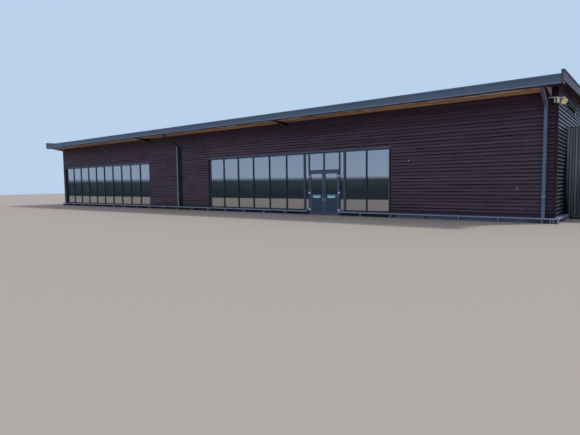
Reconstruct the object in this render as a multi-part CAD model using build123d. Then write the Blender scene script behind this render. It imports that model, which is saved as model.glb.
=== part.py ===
from build123d import *
import math
import os

# A long, low garden centre: one hall clad in dark horizontal boards, two runs of shopfront
# glazing in the front wall, a pair of hinged entrance doors, and a roof with a single slope
# that falls towards a deep front eave. A short run of yard screen stands at its right side.
# Sizes are in millimetres. The front faces -Y, +Z is up, and the origin is the middle of the
# whole footprint at ground level.

# Structural grid and plan
BAY_LENGTH = 12000
BAY_COUNT = 3
GRID_TO_END_FACE = 250
BUILDING_DEPTH = 12000
WALL_THICKNESS = 150
EAVE_OVERHANG = 1200
BACK_OVERHANG = 250
VERGE_OVERHANG = 330
SCREEN_RUN = 2500

# Levels above the ground
FLOOR_TOP = 25
LEDGE_TOP = 200
WINDOW_HEAD = 3110
SOFFIT_LEVEL = 4740
DECK_SEAT = 4890
FASCIA_TOP = 5080
VERGE_TOP = 5195
SCREEN_TOP = 3670

# Roof
ROOF_PITCH = 2.0
DECK_THICKNESS = 150
SHEET_METAL = 8
SOFFIT_BOARD = 20
GUTTER_WIDTH = 350
GUTTER_RISE = 40
CAP_BAND = 70
CAP_PROUD = 18
STOP_END_DROP = 10
VERGE_BOX = 60
VERGE_PANEL = 16
VERGE_PANEL_LENGTHS = [1200, 2950, 2950, 2950]
VERGE_PANEL_JOINT = 8
VERGE_PROUD = 40
VERGE_CAP = 10
VERGE_CAP_LIP = 24
VERGE_CAP_FOLD = 40
VERGE_CAP_FRONT = 10
BACK_FASCIA = 25
BACK_FASCIA_DROP = 40
BACK_FASCIA_RISE = 60

# Roof beams, whose tapered ends carry the front eave
BEAM_DEPTH = 370
BEAM_TIP_DEPTH = 12
BEAM_WIDTH = 90
POCKET_CLEARANCE = 10
SOFFIT_END_GAP = 175

# Plinth, and the metal ledge that caps it
PLINTH_RECESS = 60
LEDGE_PROUD = 153
LEDGE_SHEET = 10
LEDGE_LIP = 50
LEDGE_BRACKET_WIDTH = 45
LEDGE_BRACKET_PITCH = 1500
LEDGE_BRACKET_FROM_END = 375
LEDGE_BRACKET_GROUND_GAP = 5
SIDE_BRACKET_FROM_CORNER = 1580
SIDE_BRACKET_PITCH = 860
BRACKETS_AT_CORNER = (110, 20, -118)

# Shopfront windows: each run fills a bay's length between two margins, window 1 in the third bay
# and window 2 across the first two
WINDOW_GRID_MARGIN = 100
LIGHT_COUNT = 10
WINDOW_2_FROM_GRID = 6210
LIGHTS_RIGHT_OF_ENTRANCE = 2
ENTRANCE_LIGHTS = 2
FRAME_SETBACK = 40
FRAME_DEPTH = 100
FRAME_FACE = 60
GLASS_THICKNESS = 28
FLASHING_PROUD = 30
FLASHING_HEIGHT = 40
FLASHING_SHEET = 5

# Entrance
SIDELIGHT_STILE = 50
SIDELIGHT_GLASS_WIDTH = 200
DOOR_HEAD = 2150
TRANSOM_HEIGHT = 80
THRESHOLD_THICKNESS = 8
DOOR_SIDE_GAP = 5
DOOR_BOTTOM_GAP = 7
DOOR_MEETING_GAP = 10
LEAF_THICKNESS = 50
LEAF_STILE = 100
KICK_PANEL_HEIGHT = 990
PULL_RADIUS = 13
PULL_LENGTH = 420
PULL_STANDOFF = 55
PULL_HEIGHT = 1080
PULL_FOOT_INSET = 40

# Door hinges: knuckles stand in front of the leaves, half on the post and half on the leaf
HINGE_LEVELS = [260, 1100, 1920]
HINGE_HEIGHT = 90
HINGE_STANDOFF = 12
HINGE_KNUCKLE_RADIUS = 9
HINGE_PIN_RADIUS = 4
HINGE_PIN_CLEARANCE = 0.3
HINGE_KNUCKLE_GAP = 0.5
HINGE_PLATE_WIDTH = 40
HINGE_PLATE_START = 7
HINGE_PLATE_THICKNESS = 4

# Corner boards
CORNER_BOARD_WIDTH = 62
CORNER_BOARD_THICKNESS = 28

# Downpipes
PIPE_SIZE = 110
PIPE_OFF_WALL = 30
PIPE_OUTLET_FROM_FASCIA = 170
PIPE_OUTLET_DROP = 110
PIPE_COLLAR = 12
PIPE_COLLAR_HEIGHT = 60
RIGHT_PIPE_FROM_END = 360
RIGHT_PIPE_ELBOW = 4260
RIGHT_PIPE_COLLAR_LEVEL = 1000
LEFT_PIPE_FROM_END = 21150
LEFT_PIPE_OUTLET_FROM_END = 21225
LEFT_PIPE_ELBOW = 4050

# High vent in the right wall
VENT_FROM_FRONT = 2150
VENT_LENGTH = 2980
VENT_BOTTOM = 4310
VENT_HEIGHT = 270
VENT_FRAME = 35
VENT_PROUD = 40
VENT_BLADES = 4
VENT_BLADE_THICKNESS = 10
VENT_BLADE_TILT = 40

# Corner lamp
LAMP_LEVEL = 4335
LAMP_RADIUS = 112
LAMP_BACK_RADIUS = 60
LAMP_BODY_DEPTH = 85
LAMP_BEZEL = 12
LAMP_BEZEL_DEPTH = 18
LAMP_DOME = 26
LAMP_FROM_CORNER = 190
LAMP_FORWARD = 40
LAMP_ARM_RADIUS = 13
LAMP_BOX_WIDTH = 105
LAMP_BOX_HEIGHT = 190
LAMP_BOX_DEPTH = 75
LAMP_BOX_BOTTOM = 4300
LAMP_BOX_PAST_CORNER = 15
KNUCKLE_WIDTH = 60
CONDUIT_RADIUS = 12
CONDUIT_LEVEL = 4504
SENSOR_FROM_CORNER = 95
SENSOR_RADIUS = 22
SENSOR_LENGTH = 200

# Yard screen
SCREEN_FROM_FRONT = 2555
SCREEN_POST = 100
SCREEN_SHEET = 25
SCREEN_RAIL = 60
SCREEN_RAIL_LEVELS = [500, 1900, 3300]
SCREEN_CAP = 40
SCREEN_GROUND_GAP = 100
SCREEN_FROM_WALL = 30
SCREEN_LEDGE_GAP = 3

# Reference lines worked out from the sizes above
WALL_LENGTH = BAY_LENGTH * BAY_COUNT + 2 * GRID_TO_END_FACE
RIGHT_REACH = max(SCREEN_RUN, VERGE_OVERHANG)
FRONT_REACH = EAVE_OVERHANG + VERGE_PROUD + VERGE_CAP_FRONT
LEFT_FACE = VERGE_OVERHANG - (VERGE_OVERHANG + WALL_LENGTH + RIGHT_REACH) / 2
RIGHT_FACE = LEFT_FACE + WALL_LENGTH
FRONT_FACE = FRONT_REACH - (FRONT_REACH + BUILDING_DEPTH + BACK_OVERHANG) / 2
BACK_FACE = FRONT_FACE + BUILDING_DEPTH
FASCIA_FACE = FRONT_FACE - EAVE_OVERHANG
GUTTER_BACK = FASCIA_FACE + GUTTER_WIDTH
ROOF_END = BACK_FACE + BACK_OVERHANG
GRID_LINES = [RIGHT_FACE - GRID_TO_END_FACE - i * BAY_LENGTH for i in range(BAY_COUNT + 1)]
PITCH_RISE = math.tan(math.radians(ROOF_PITCH))
VERGE_INNER = VERGE_OVERHANG - VERGE_CAP_LIP - VERGE_PANEL - VERGE_BOX
VERGE_FRONT = FASCIA_FACE - VERGE_PROUD

LIGHT_PITCH = (BAY_LENGTH - 2 * WINDOW_GRID_MARGIN) / LIGHT_COUNT
WINDOW_1_RIGHT = GRID_LINES[2] - WINDOW_GRID_MARGIN
WINDOW_1_LEFT = WINDOW_1_RIGHT - LIGHT_COUNT * LIGHT_PITCH
WINDOW_2_RIGHT = GRID_LINES[0] - WINDOW_2_FROM_GRID
WINDOW_2_LEFT = WINDOW_2_RIGHT - LIGHT_COUNT * LIGHT_PITCH
ENTRANCE_RIGHT = WINDOW_2_RIGHT - LIGHTS_RIGHT_OF_ENTRANCE * LIGHT_PITCH
ENTRANCE_LEFT = ENTRANCE_RIGHT - ENTRANCE_LIGHTS * LIGHT_PITCH
SIDELIGHT_WIDTH = SIDELIGHT_STILE + SIDELIGHT_GLASS_WIDTH + FRAME_FACE
DOORWAY_LEFT = ENTRANCE_LEFT + SIDELIGHT_WIDTH
DOORWAY_RIGHT = ENTRANCE_RIGHT - SIDELIGHT_WIDTH
FRAME_FRONT = FRONT_FACE + FRAME_SETBACK
FRAME_BACK = FRAME_FRONT + FRAME_DEPTH
LEAF_BOTTOM = FLOOR_TOP + THRESHOLD_THICKNESS + DOOR_BOTTOM_GAP
LEAF_TOP = DOOR_HEAD - DOOR_SIDE_GAP
LEAF_WIDTH = (DOORWAY_RIGHT - DOORWAY_LEFT - 2 * DOOR_SIDE_GAP - DOOR_MEETING_GAP) / 2
GUTTER_BOTTOM = SOFFIT_LEVEL + GUTTER_RISE
PLINTH_TOP = LEDGE_TOP - LEDGE_SHEET


def block(x0, x1, y0, y1, z0, z1):
    """A straight-sided solid between two values on each axis."""
    return Pos((x0 + x1) / 2, (y0 + y1) / 2, (z0 + z1) / 2) * Box(x1 - x0, y1 - y0, z1 - z0)


def along_x(points, x0, x1):
    """A profile of (y, z) points, extruded from x0 to x1."""
    outline = Polyline(*[(x0, y, z) for y, z in points], close=True)
    return extrude(make_face(outline), x1 - x0, dir=(1, 0, 0))


def along_z(points, z0, z1):
    """A plan of (x, y) points, extruded from z0 to z1."""
    outline = Polyline(*[(x, y, z0) for x, y in points], close=True)
    return extrude(make_face(outline), z1 - z0, dir=(0, 0, 1))


def deck_underside(y):
    """Height of the roof deck's underside at a depth y."""
    return DECK_SEAT + (y - FRONT_FACE) * PITCH_RISE


def fuse(parts):
    """Parts of one piece that meet, joined into one solid."""
    joined = parts[0]
    for part in parts[1:]:
        joined = joined + part
    return joined


def group(parts):
    """Like pieces that share a name and do not touch."""
    return Compound(children=[solid for part in parts for solid in part.solids()])


# Ground floor and plinth

def floor_slab():
    return block(LEFT_FACE + WALL_THICKNESS, RIGHT_FACE - WALL_THICKNESS,
                 FRONT_FACE + WALL_THICKNESS, BACK_FACE - WALL_THICKNESS, 0, FLOOR_TOP)


def entrance_step():
    return block(DOORWAY_LEFT - FRAME_FACE, DOORWAY_RIGHT + FRAME_FACE,
                 FRONT_FACE - LEDGE_PROUD, FRONT_FACE + WALL_THICKNESS, 0, FLOOR_TOP)


def plinth_front():
    y0 = FRONT_FACE + PLINTH_RECESS
    y1 = FRONT_FACE + WALL_THICKNESS
    left = block(LEFT_FACE + PLINTH_RECESS, DOORWAY_LEFT - FRAME_FACE, y0, y1, 0, PLINTH_TOP)
    right = block(DOORWAY_RIGHT + FRAME_FACE, RIGHT_FACE - PLINTH_RECESS, y0, y1, 0, PLINTH_TOP)
    return group([left, right])


def plinth_back():
    return block(LEFT_FACE + PLINTH_RECESS, RIGHT_FACE - PLINTH_RECESS,
                 BACK_FACE - WALL_THICKNESS, BACK_FACE - PLINTH_RECESS, 0, PLINTH_TOP)


def plinth_sides():
    y0 = FRONT_FACE + WALL_THICKNESS
    y1 = BACK_FACE - WALL_THICKNESS
    left = block(LEFT_FACE + PLINTH_RECESS, LEFT_FACE + WALL_THICKNESS, y0, y1, 0, PLINTH_TOP)
    right = block(RIGHT_FACE - WALL_THICKNESS, RIGHT_FACE - PLINTH_RECESS, y0, y1, 0, PLINTH_TOP)
    return group([left, right])


def ledge_profile(face, outward):
    """Section of the ledge: a tray under the wall with a folded lip in front of it."""
    edge = face + outward * LEDGE_PROUD
    inner = face - outward * WALL_THICKNESS
    fold = edge - outward * LEDGE_SHEET
    return [(inner, PLINTH_TOP), (inner, LEDGE_TOP), (edge, LEDGE_TOP),
            (edge, LEDGE_TOP - LEDGE_LIP), (fold, LEDGE_TOP - LEDGE_LIP), (fold, PLINTH_TOP)]


def ledge_end(tray, face, outward):
    """Turns the lip round both ends of a tray, up to where the side ledge takes it on."""
    edge = face + outward * LEDGE_PROUD
    inner = face - outward * WALL_THICKNESS
    for x, inward in ((LEFT_FACE - LEDGE_PROUD, 1), (RIGHT_FACE + LEDGE_PROUD, -1)):
        across = sorted((x, x + inward * LEDGE_SHEET))
        along = sorted((edge, inner))
        tray = tray + block(*across, *along, LEDGE_TOP - LEDGE_LIP, LEDGE_TOP)
    return tray


def ledge_front():
    tray = along_x(ledge_profile(FRONT_FACE, -1), LEFT_FACE - LEDGE_PROUD, RIGHT_FACE + LEDGE_PROUD)
    tray = ledge_end(tray, FRONT_FACE, -1)
    return tray - block(DOORWAY_LEFT - FRAME_FACE, DOORWAY_RIGHT + FRAME_FACE,
                        FRONT_FACE - 2 * LEDGE_PROUD, FRONT_FACE + 2 * WALL_THICKNESS, 0, 2 * LEDGE_TOP)


def ledge_back():
    tray = along_x(ledge_profile(BACK_FACE, 1), LEFT_FACE - LEDGE_PROUD, RIGHT_FACE + LEDGE_PROUD)
    return ledge_end(tray, BACK_FACE, 1)


def ledge_sides():
    y0 = FRONT_FACE + WALL_THICKNESS
    y1 = BACK_FACE - WALL_THICKNESS
    sides = []
    for face, outward in ((LEFT_FACE, -1), (RIGHT_FACE, 1)):
        outline = [(x, y0, z) for x, z in ledge_profile(face, outward)]
        sides.append(extrude(make_face(Polyline(*outline, close=True)), y1 - y0, dir=(0, 1, 0)))
    return group(sides)


def ledge_brackets():
    """Short metal brackets under the ledge, at an even pitch all round and closer at each corner."""
    reach = LEDGE_PROUD - LEDGE_SHEET
    y0 = FRONT_FACE - reach
    y1 = FRONT_FACE + PLINTH_RECESS
    half = LEDGE_BRACKET_WIDTH / 2
    brackets = []
    for i in range(int((BUILDING_DEPTH - SIDE_BRACKET_FROM_CORNER) // SIDE_BRACKET_PITCH) + 1):
        y = FRONT_FACE + SIDE_BRACKET_FROM_CORNER + i * SIDE_BRACKET_PITCH
        for face, outward in ((LEFT_FACE, -1), (RIGHT_FACE, 1)):
            ends = sorted((face + outward * reach, face - outward * PLINTH_RECESS))
            brackets.append(block(ends[0], ends[1], y - half, y + half, LEDGE_BRACKET_GROUND_GAP, PLINTH_TOP))
    for i in range(int((WALL_LENGTH - 2 * LEDGE_BRACKET_FROM_END) // LEDGE_BRACKET_PITCH) + 1):
        x = RIGHT_FACE - LEDGE_BRACKET_FROM_END - i * LEDGE_BRACKET_PITCH
        if x + half < DOORWAY_LEFT - FRAME_FACE or x - half > DOORWAY_RIGHT + FRAME_FACE:
            brackets.append(block(x - half, x + half, y0, y1, LEDGE_BRACKET_GROUND_GAP, PLINTH_TOP))
        brackets.append(block(x - half, x + half, BACK_FACE - PLINTH_RECESS, BACK_FACE + reach,
                              LEDGE_BRACKET_GROUND_GAP, PLINTH_TOP))
    for inward in BRACKETS_AT_CORNER:
        for x in (LEFT_FACE + inward, RIGHT_FACE - inward):
            for near, far in ((y0, y1), (BACK_FACE - PLINTH_RECESS, BACK_FACE + reach)):
                brackets.append(block(x - half, x + half, near, far, LEDGE_BRACKET_GROUND_GAP, PLINTH_TOP))
    return group(brackets)


# Walls

def wall_front_pier(x0, x1):
    return block(x0, x1, FRONT_FACE, FRONT_FACE + WALL_THICKNESS, LEDGE_TOP, WINDOW_HEAD)


def beam_pocket(x, y0, y1):
    """Space that a roof beam takes where it crosses a wall."""
    half = BEAM_WIDTH / 2 + POCKET_CLEARANCE
    low = min(deck_underside(y0), deck_underside(y1)) - BEAM_DEPTH
    return block(x - half, x + half, y0, y1, low, low + 2 * BEAM_DEPTH)


def wall_front_head():
    y0 = FRONT_FACE
    y1 = FRONT_FACE + WALL_THICKNESS
    wall = along_x([(y0, WINDOW_HEAD), (y1, WINDOW_HEAD), (y1, deck_underside(y1)), (y0, deck_underside(y0))],
                   LEFT_FACE, RIGHT_FACE)
    for x in GRID_LINES:
        wall = wall - beam_pocket(x, y0, y1)
    return wall


def wall_back():
    y0 = BACK_FACE - WALL_THICKNESS
    y1 = BACK_FACE
    return along_x([(y0, LEDGE_TOP), (y1, LEDGE_TOP), (y1, deck_underside(y1)), (y0, deck_underside(y0))],
                   LEFT_FACE, RIGHT_FACE)


def wall_side(x0, x1):
    y0 = FRONT_FACE + WALL_THICKNESS
    y1 = BACK_FACE - WALL_THICKNESS
    return along_x([(y0, LEDGE_TOP), (y1, LEDGE_TOP), (y1, deck_underside(y1)), (y0, deck_underside(y0))],
                   x0, x1)


def wall_right():
    y0 = FRONT_FACE + VENT_FROM_FRONT
    wall = wall_side(RIGHT_FACE - WALL_THICKNESS, RIGHT_FACE)
    return wall - block(RIGHT_FACE - 2 * WALL_THICKNESS, RIGHT_FACE + WALL_THICKNESS,
                        y0, y0 + VENT_LENGTH, VENT_BOTTOM, VENT_BOTTOM + VENT_HEIGHT)


def corner_boards():
    """An angle of two upright boards that covers the cladding's ends at each corner."""
    boards = []
    for face_x, out_x in ((LEFT_FACE, -1), (RIGHT_FACE, 1)):
        for face_y, out_y in ((FRONT_FACE, -1), (BACK_FACE, 1)):
            outer_x = face_x + out_x * CORNER_BOARD_THICKNESS
            outer_y = face_y + out_y * CORNER_BOARD_THICKNESS
            inner_x = face_x - out_x * CORNER_BOARD_WIDTH
            inner_y = face_y - out_y * CORNER_BOARD_WIDTH
            plan = [(face_x, face_y), (face_x, inner_y), (outer_x, inner_y),
                    (outer_x, outer_y), (inner_x, outer_y), (inner_x, face_y)]
            boards.append(along_z(plan, LEDGE_TOP, deck_underside(min(outer_y, inner_y))))
    return group(boards)


# Shopfront glazing

def light_openings(x0, count, face):
    """The clear width of each light in a run of equal lights that starts at x0."""
    return [(x0 + i * LIGHT_PITCH + (face if i == 0 else face / 2),
             x0 + (i + 1) * LIGHT_PITCH - (face if i == count - 1 else face / 2)) for i in range(count)]


def window_frame(x0, count):
    frame = block(x0, x0 + count * LIGHT_PITCH, FRAME_FRONT, FRAME_BACK, LEDGE_TOP, WINDOW_HEAD)
    for left, right in light_openings(x0, count, FRAME_FACE):
        frame = frame - block(left, right, FRAME_FRONT - FRAME_DEPTH, FRAME_BACK + FRAME_DEPTH,
                              LEDGE_TOP + FRAME_FACE, WINDOW_HEAD - FRAME_FACE)
    return frame


def pane(x0, x1, z0, z1, front=FRAME_FRONT, depth=FRAME_DEPTH):
    """A sealed glass unit in the middle of a frame's depth."""
    middle = front + depth / 2
    return block(x0, x1, middle - GLASS_THICKNESS / 2, middle + GLASS_THICKNESS / 2, z0, z1)


def window_glass(x0, count):
    return group([pane(left, right, LEDGE_TOP + FRAME_FACE, WINDOW_HEAD - FRAME_FACE)
                  for left, right in light_openings(x0, count, FRAME_FACE)])


def head_flashings():
    """A folded drip over each run of glazing."""
    face = FRONT_FACE
    profile = [(face, WINDOW_HEAD), (face, WINDOW_HEAD + FLASHING_HEIGHT),
               (face - FLASHING_SHEET, WINDOW_HEAD + FLASHING_HEIGHT),
               (face - FLASHING_SHEET, WINDOW_HEAD + FLASHING_SHEET),
               (face - FLASHING_PROUD, WINDOW_HEAD + FLASHING_SHEET), (face - FLASHING_PROUD, WINDOW_HEAD)]
    runs = ((WINDOW_1_LEFT, WINDOW_1_RIGHT), (WINDOW_2_LEFT, WINDOW_2_RIGHT))
    return group([along_x(profile, left - FRAME_FACE, right + FRAME_FACE) for left, right in runs])


# Entrance

def entrance_side_frame(outer, inner):
    """Sidelight frame from its outer edge to the doorway, with the door post down to the floor."""
    x0 = min(outer, inner)
    x1 = max(outer, inner)
    inward = 1 if inner > outer else -1
    glass_outer = outer + inward * SIDELIGHT_STILE
    glass_inner = inner - inward * FRAME_FACE
    frame = block(x0, x1, FRAME_FRONT, FRAME_BACK, LEDGE_TOP, WINDOW_HEAD)
    frame = frame - block(min(glass_outer, glass_inner), max(glass_outer, glass_inner),
                          FRAME_FRONT - FRAME_DEPTH, FRAME_BACK + FRAME_DEPTH,
                          LEDGE_TOP + FRAME_FACE, WINDOW_HEAD - FRAME_FACE)
    foot = block(min(glass_inner, inner), max(glass_inner, inner), FRAME_FRONT, FRAME_BACK,
                 FLOOR_TOP, LEDGE_TOP)
    return frame + foot


def fanlight_frame():
    middle = (DOORWAY_LEFT + DOORWAY_RIGHT) / 2
    frame = block(DOORWAY_LEFT, DOORWAY_RIGHT, FRAME_FRONT, FRAME_BACK, DOOR_HEAD, WINDOW_HEAD)
    for x0, x1 in ((DOORWAY_LEFT, middle - FRAME_FACE / 2), (middle + FRAME_FACE / 2, DOORWAY_RIGHT)):
        frame = frame - block(x0, x1, FRAME_FRONT - FRAME_DEPTH, FRAME_BACK + FRAME_DEPTH,
                              DOOR_HEAD + TRANSOM_HEIGHT, WINDOW_HEAD - FRAME_FACE)
    return frame


def entrance_glass():
    middle = (DOORWAY_LEFT + DOORWAY_RIGHT) / 2
    side_bottom = LEDGE_TOP + FRAME_FACE
    top = WINDOW_HEAD - FRAME_FACE
    fan_bottom = DOOR_HEAD + TRANSOM_HEIGHT
    return group([
        pane(ENTRANCE_LEFT + SIDELIGHT_STILE, DOORWAY_LEFT - FRAME_FACE, side_bottom, top),
        pane(DOORWAY_LEFT, middle - FRAME_FACE / 2, fan_bottom, top),
        pane(middle + FRAME_FACE / 2, DOORWAY_RIGHT, fan_bottom, top),
        pane(DOORWAY_RIGHT + FRAME_FACE, ENTRANCE_RIGHT - SIDELIGHT_STILE, side_bottom, top),
    ])


def entrance_threshold():
    rise = THRESHOLD_THICKNESS
    z = FLOOR_TOP
    profile = [(FRAME_FRONT - rise, z), (FRAME_FRONT, z + rise),
               (FRAME_BACK, z + rise), (FRAME_BACK + rise, z)]
    return along_x(profile, DOORWAY_LEFT, DOORWAY_RIGHT)


class Leaf:
    """Where one door leaf stands: side is 1 for the leaf hung on the left post, -1 on the right."""

    def __init__(self, post, side):
        self.side = side
        self.axis_x = post + side * DOOR_SIDE_GAP / 2
        self.axis_y = FRAME_FRONT - HINGE_STANDOFF
        self.hung_edge = post + side * DOOR_SIDE_GAP
        self.meeting_edge = self.hung_edge + side * LEAF_WIDTH

    def block(self, from_hung_0, from_hung_1, y0, y1, z0, z1):
        """A straight-sided solid set out from the leaf's hung edge."""
        ends = sorted((self.hung_edge + self.side * from_hung_0, self.hung_edge + self.side * from_hung_1))
        return block(ends[0], ends[1], y0, y1, z0, z1)


LEFT_LEAF = Leaf(DOORWAY_LEFT, 1)
RIGHT_LEAF = Leaf(DOORWAY_RIGHT, -1)


def leaf_frame(leaf):
    """Stiles and rails round the glass, with a solid kick panel below."""
    y0 = FRAME_FRONT
    y1 = FRAME_FRONT + LEAF_THICKNESS
    frame = leaf.block(0, LEAF_WIDTH, y0, y1, LEAF_BOTTOM, LEAF_TOP)
    return frame - leaf.block(LEAF_STILE, LEAF_WIDTH - LEAF_STILE, y0 - LEAF_THICKNESS, y1 + LEAF_THICKNESS,
                              LEAF_BOTTOM + KICK_PANEL_HEIGHT, LEAF_TOP - LEAF_STILE)


def leaf_glass(leaf):
    middle = FRAME_FRONT + LEAF_THICKNESS / 2
    return leaf.block(LEAF_STILE, LEAF_WIDTH - LEAF_STILE, middle - GLASS_THICKNESS / 2,
                      middle + GLASS_THICKNESS / 2, LEAF_BOTTOM + KICK_PANEL_HEIGHT, LEAF_TOP - LEAF_STILE)


def leaf_pull(leaf):
    """An upright bar on two feet, near the meeting edge."""
    x = leaf.meeting_edge - leaf.side * LEAF_STILE / 2
    y = FRAME_FRONT - PULL_STANDOFF
    bar = Pos(x, y, PULL_HEIGHT) * Cylinder(PULL_RADIUS, PULL_LENGTH)
    feet = [Pos(x, FRAME_FRONT - PULL_STANDOFF / 2, PULL_HEIGHT + end * (PULL_LENGTH / 2 - PULL_FOOT_INSET))
            * Rot(90, 0, 0) * Cylinder(PULL_RADIUS * 0.7, PULL_STANDOFF) for end in (-1, 1)]
    return fuse([bar] + feet)


def hinge_half(leaf, level, on_leaf):
    """One half of a hinge. The post's half holds the pin and the two end knuckles."""
    way = leaf.side if on_leaf else -leaf.side
    knuckle = HINGE_HEIGHT / 3
    ends = sorted((leaf.axis_x + way * HINGE_PLATE_START,
                   leaf.axis_x + way * (HINGE_PLATE_START + HINGE_PLATE_WIDTH)))
    plate = block(ends[0], ends[1], FRAME_FRONT - HINGE_PLATE_THICKNESS, FRAME_FRONT,
                  level - HINGE_HEIGHT / 2, level + HINGE_HEIGHT / 2)
    if on_leaf:
        spans = [(level - knuckle / 2, level + knuckle / 2)]
    else:
        spans = [(level - HINGE_HEIGHT / 2, level - knuckle / 2 - HINGE_KNUCKLE_GAP),
                 (level + knuckle / 2 + HINGE_KNUCKLE_GAP, level + HINGE_HEIGHT / 2)]
    parts = [plate]
    for z0, z1 in spans:
        barrel = Pos(leaf.axis_x, leaf.axis_y, (z0 + z1) / 2) * Cylinder(HINGE_KNUCKLE_RADIUS, z1 - z0)
        arm = sorted((leaf.axis_x, leaf.axis_x + way * (HINGE_PLATE_START + HINGE_PLATE_THICKNESS)))
        parts.append(barrel)
        parts.append(block(arm[0], arm[1], leaf.axis_y, FRAME_FRONT, z0, z1))
    if on_leaf:
        bore = Cylinder(HINGE_PIN_RADIUS + HINGE_PIN_CLEARANCE, 2 * HINGE_HEIGHT)
        return fuse(parts) - Pos(leaf.axis_x, leaf.axis_y, level) * bore
    parts.append(Pos(leaf.axis_x, leaf.axis_y, level) * Cylinder(HINGE_PIN_RADIUS, HINGE_HEIGHT))
    return fuse(parts)


def post_hinges():
    return group([hinge_half(leaf, level, False) for leaf in (LEFT_LEAF, RIGHT_LEAF) for level in HINGE_LEVELS])


def leaf_hinges(leaf):
    return group([hinge_half(leaf, level, True) for level in HINGE_LEVELS])


# Roof

def roof_beam(x):
    """A laminated timber beam from the back wall to the eave, tapered where it stands out in front."""
    tip = FASCIA_FACE + SHEET_METAL
    end = BACK_FACE - WALL_THICKNESS
    return along_x([(tip, SOFFIT_LEVEL - BEAM_TIP_DEPTH),
                    (FRONT_FACE, deck_underside(FRONT_FACE) - BEAM_DEPTH),
                    (end, deck_underside(end) - BEAM_DEPTH), (end, deck_underside(end)),
                    (GUTTER_BACK, deck_underside(GUTTER_BACK)), (GUTTER_BACK, GUTTER_BOTTOM),
                    (tip, GUTTER_BOTTOM)], x - BEAM_WIDTH / 2, x + BEAM_WIDTH / 2)


def roof_deck():
    y0 = GUTTER_BACK
    y1 = ROOF_END - BACK_FASCIA
    return along_x([(y0, deck_underside(y0)), (y1, deck_underside(y1)),
                    (y1, deck_underside(y1) + DECK_THICKNESS), (y0, deck_underside(y0) + DECK_THICKNESS)],
                   LEFT_FACE - VERGE_INNER, RIGHT_FACE + VERGE_INNER)


def eaves_fascia():
    """Front plate of the box gutter, with a capping band folded over its top."""
    front = FASCIA_FACE
    back = FASCIA_FACE + SHEET_METAL
    profile = [(front, SOFFIT_LEVEL), (back, SOFFIT_LEVEL), (back, FASCIA_TOP),
               (front - CAP_PROUD, FASCIA_TOP), (front - CAP_PROUD, FASCIA_TOP - CAP_BAND),
               (front, FASCIA_TOP - CAP_BAND)]
    return along_x(profile, LEFT_FACE - VERGE_INNER, RIGHT_FACE + VERGE_INNER)


def gutter_sole():
    return block(LEFT_FACE - VERGE_INNER, RIGHT_FACE + VERGE_INNER, FASCIA_FACE + SHEET_METAL, GUTTER_BACK,
                 GUTTER_BOTTOM, GUTTER_BOTTOM + SHEET_METAL)


def gutter_back():
    return block(LEFT_FACE - VERGE_INNER, RIGHT_FACE + VERGE_INNER, GUTTER_BACK - SHEET_METAL, GUTTER_BACK,
                 GUTTER_BOTTOM + SHEET_METAL, deck_underside(GUTTER_BACK) + DECK_THICKNESS)


def gutter_stop_ends():
    """Boxed stops that close the gutter's two ends, up to the barges above them."""
    ends = []
    for face, outward in ((LEFT_FACE, -1), (RIGHT_FACE, 1)):
        inner = face + outward * VERGE_INNER
        outer = inner + outward * VERGE_BOX
        low = SOFFIT_LEVEL + STOP_END_DROP
        ends.append(along_x([(VERGE_FRONT, low), (GUTTER_BACK, low), (GUTTER_BACK, deck_underside(GUTTER_BACK)),
                             (VERGE_FRONT, deck_underside(VERGE_FRONT))], min(inner, outer), max(inner, outer)))
    return group(ends)


def eaves_soffit():
    """Level boarding under the eave, one panel between each pair of beams."""
    panels = []
    half = BEAM_WIDTH / 2
    for i in range(BAY_COUNT):
        right = GRID_LINES[i] - (SOFFIT_END_GAP if i == 0 else half)
        left = GRID_LINES[i + 1] + (SOFFIT_END_GAP if i == BAY_COUNT - 1 else half)
        panels.append(block(left, right, FASCIA_FACE + SHEET_METAL, FRONT_FACE,
                            SOFFIT_LEVEL, SOFFIT_LEVEL + SOFFIT_BOARD))
    outlet_x = RIGHT_FACE - LEFT_PIPE_OUTLET_FROM_END
    outlet_y = FASCIA_FACE + PIPE_OUTLET_FROM_FASCIA
    half = PIPE_SIZE / 2
    hole = block(outlet_x - half, outlet_x + half, outlet_y - half, outlet_y + half,
                 SOFFIT_LEVEL - SOFFIT_BOARD, SOFFIT_LEVEL + 2 * SOFFIT_BOARD)
    return group([panel - hole for panel in panels])


def verge_top(y):
    """Height of a barge's top at a depth y."""
    return VERGE_TOP + (y - VERGE_FRONT) * PITCH_RISE


def verge_profile(y0, y1):
    return [(y0, deck_underside(y0)), (y1, deck_underside(y1)), (y1, verge_top(y1)), (y0, verge_top(y0))]


def verge(face, outward):
    """Boxed barge along one end of the roof, standing above the deck as an upstand."""
    inner = face + outward * VERGE_INNER
    outer = inner + outward * VERGE_BOX
    return along_x(verge_profile(VERGE_FRONT, ROOF_END), min(inner, outer), max(inner, outer))


def verge_panels(face, outward):
    """Flat facing panels on the barge's outer side, with open joints between them."""
    inner = face + outward * (VERGE_INNER + VERGE_BOX)
    outer = inner + outward * VERGE_PANEL
    panels = []
    y0 = VERGE_FRONT
    for length in VERGE_PANEL_LENGTHS + [BUILDING_DEPTH]:
        y1 = min(y0 + length, ROOF_END)
        if y1 - y0 > VERGE_PANEL_JOINT:
            panels.append(along_x(verge_profile(y0, y1), min(inner, outer), max(inner, outer)))
        y0 = y1 + VERGE_PANEL_JOINT
    return group(panels)


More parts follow.
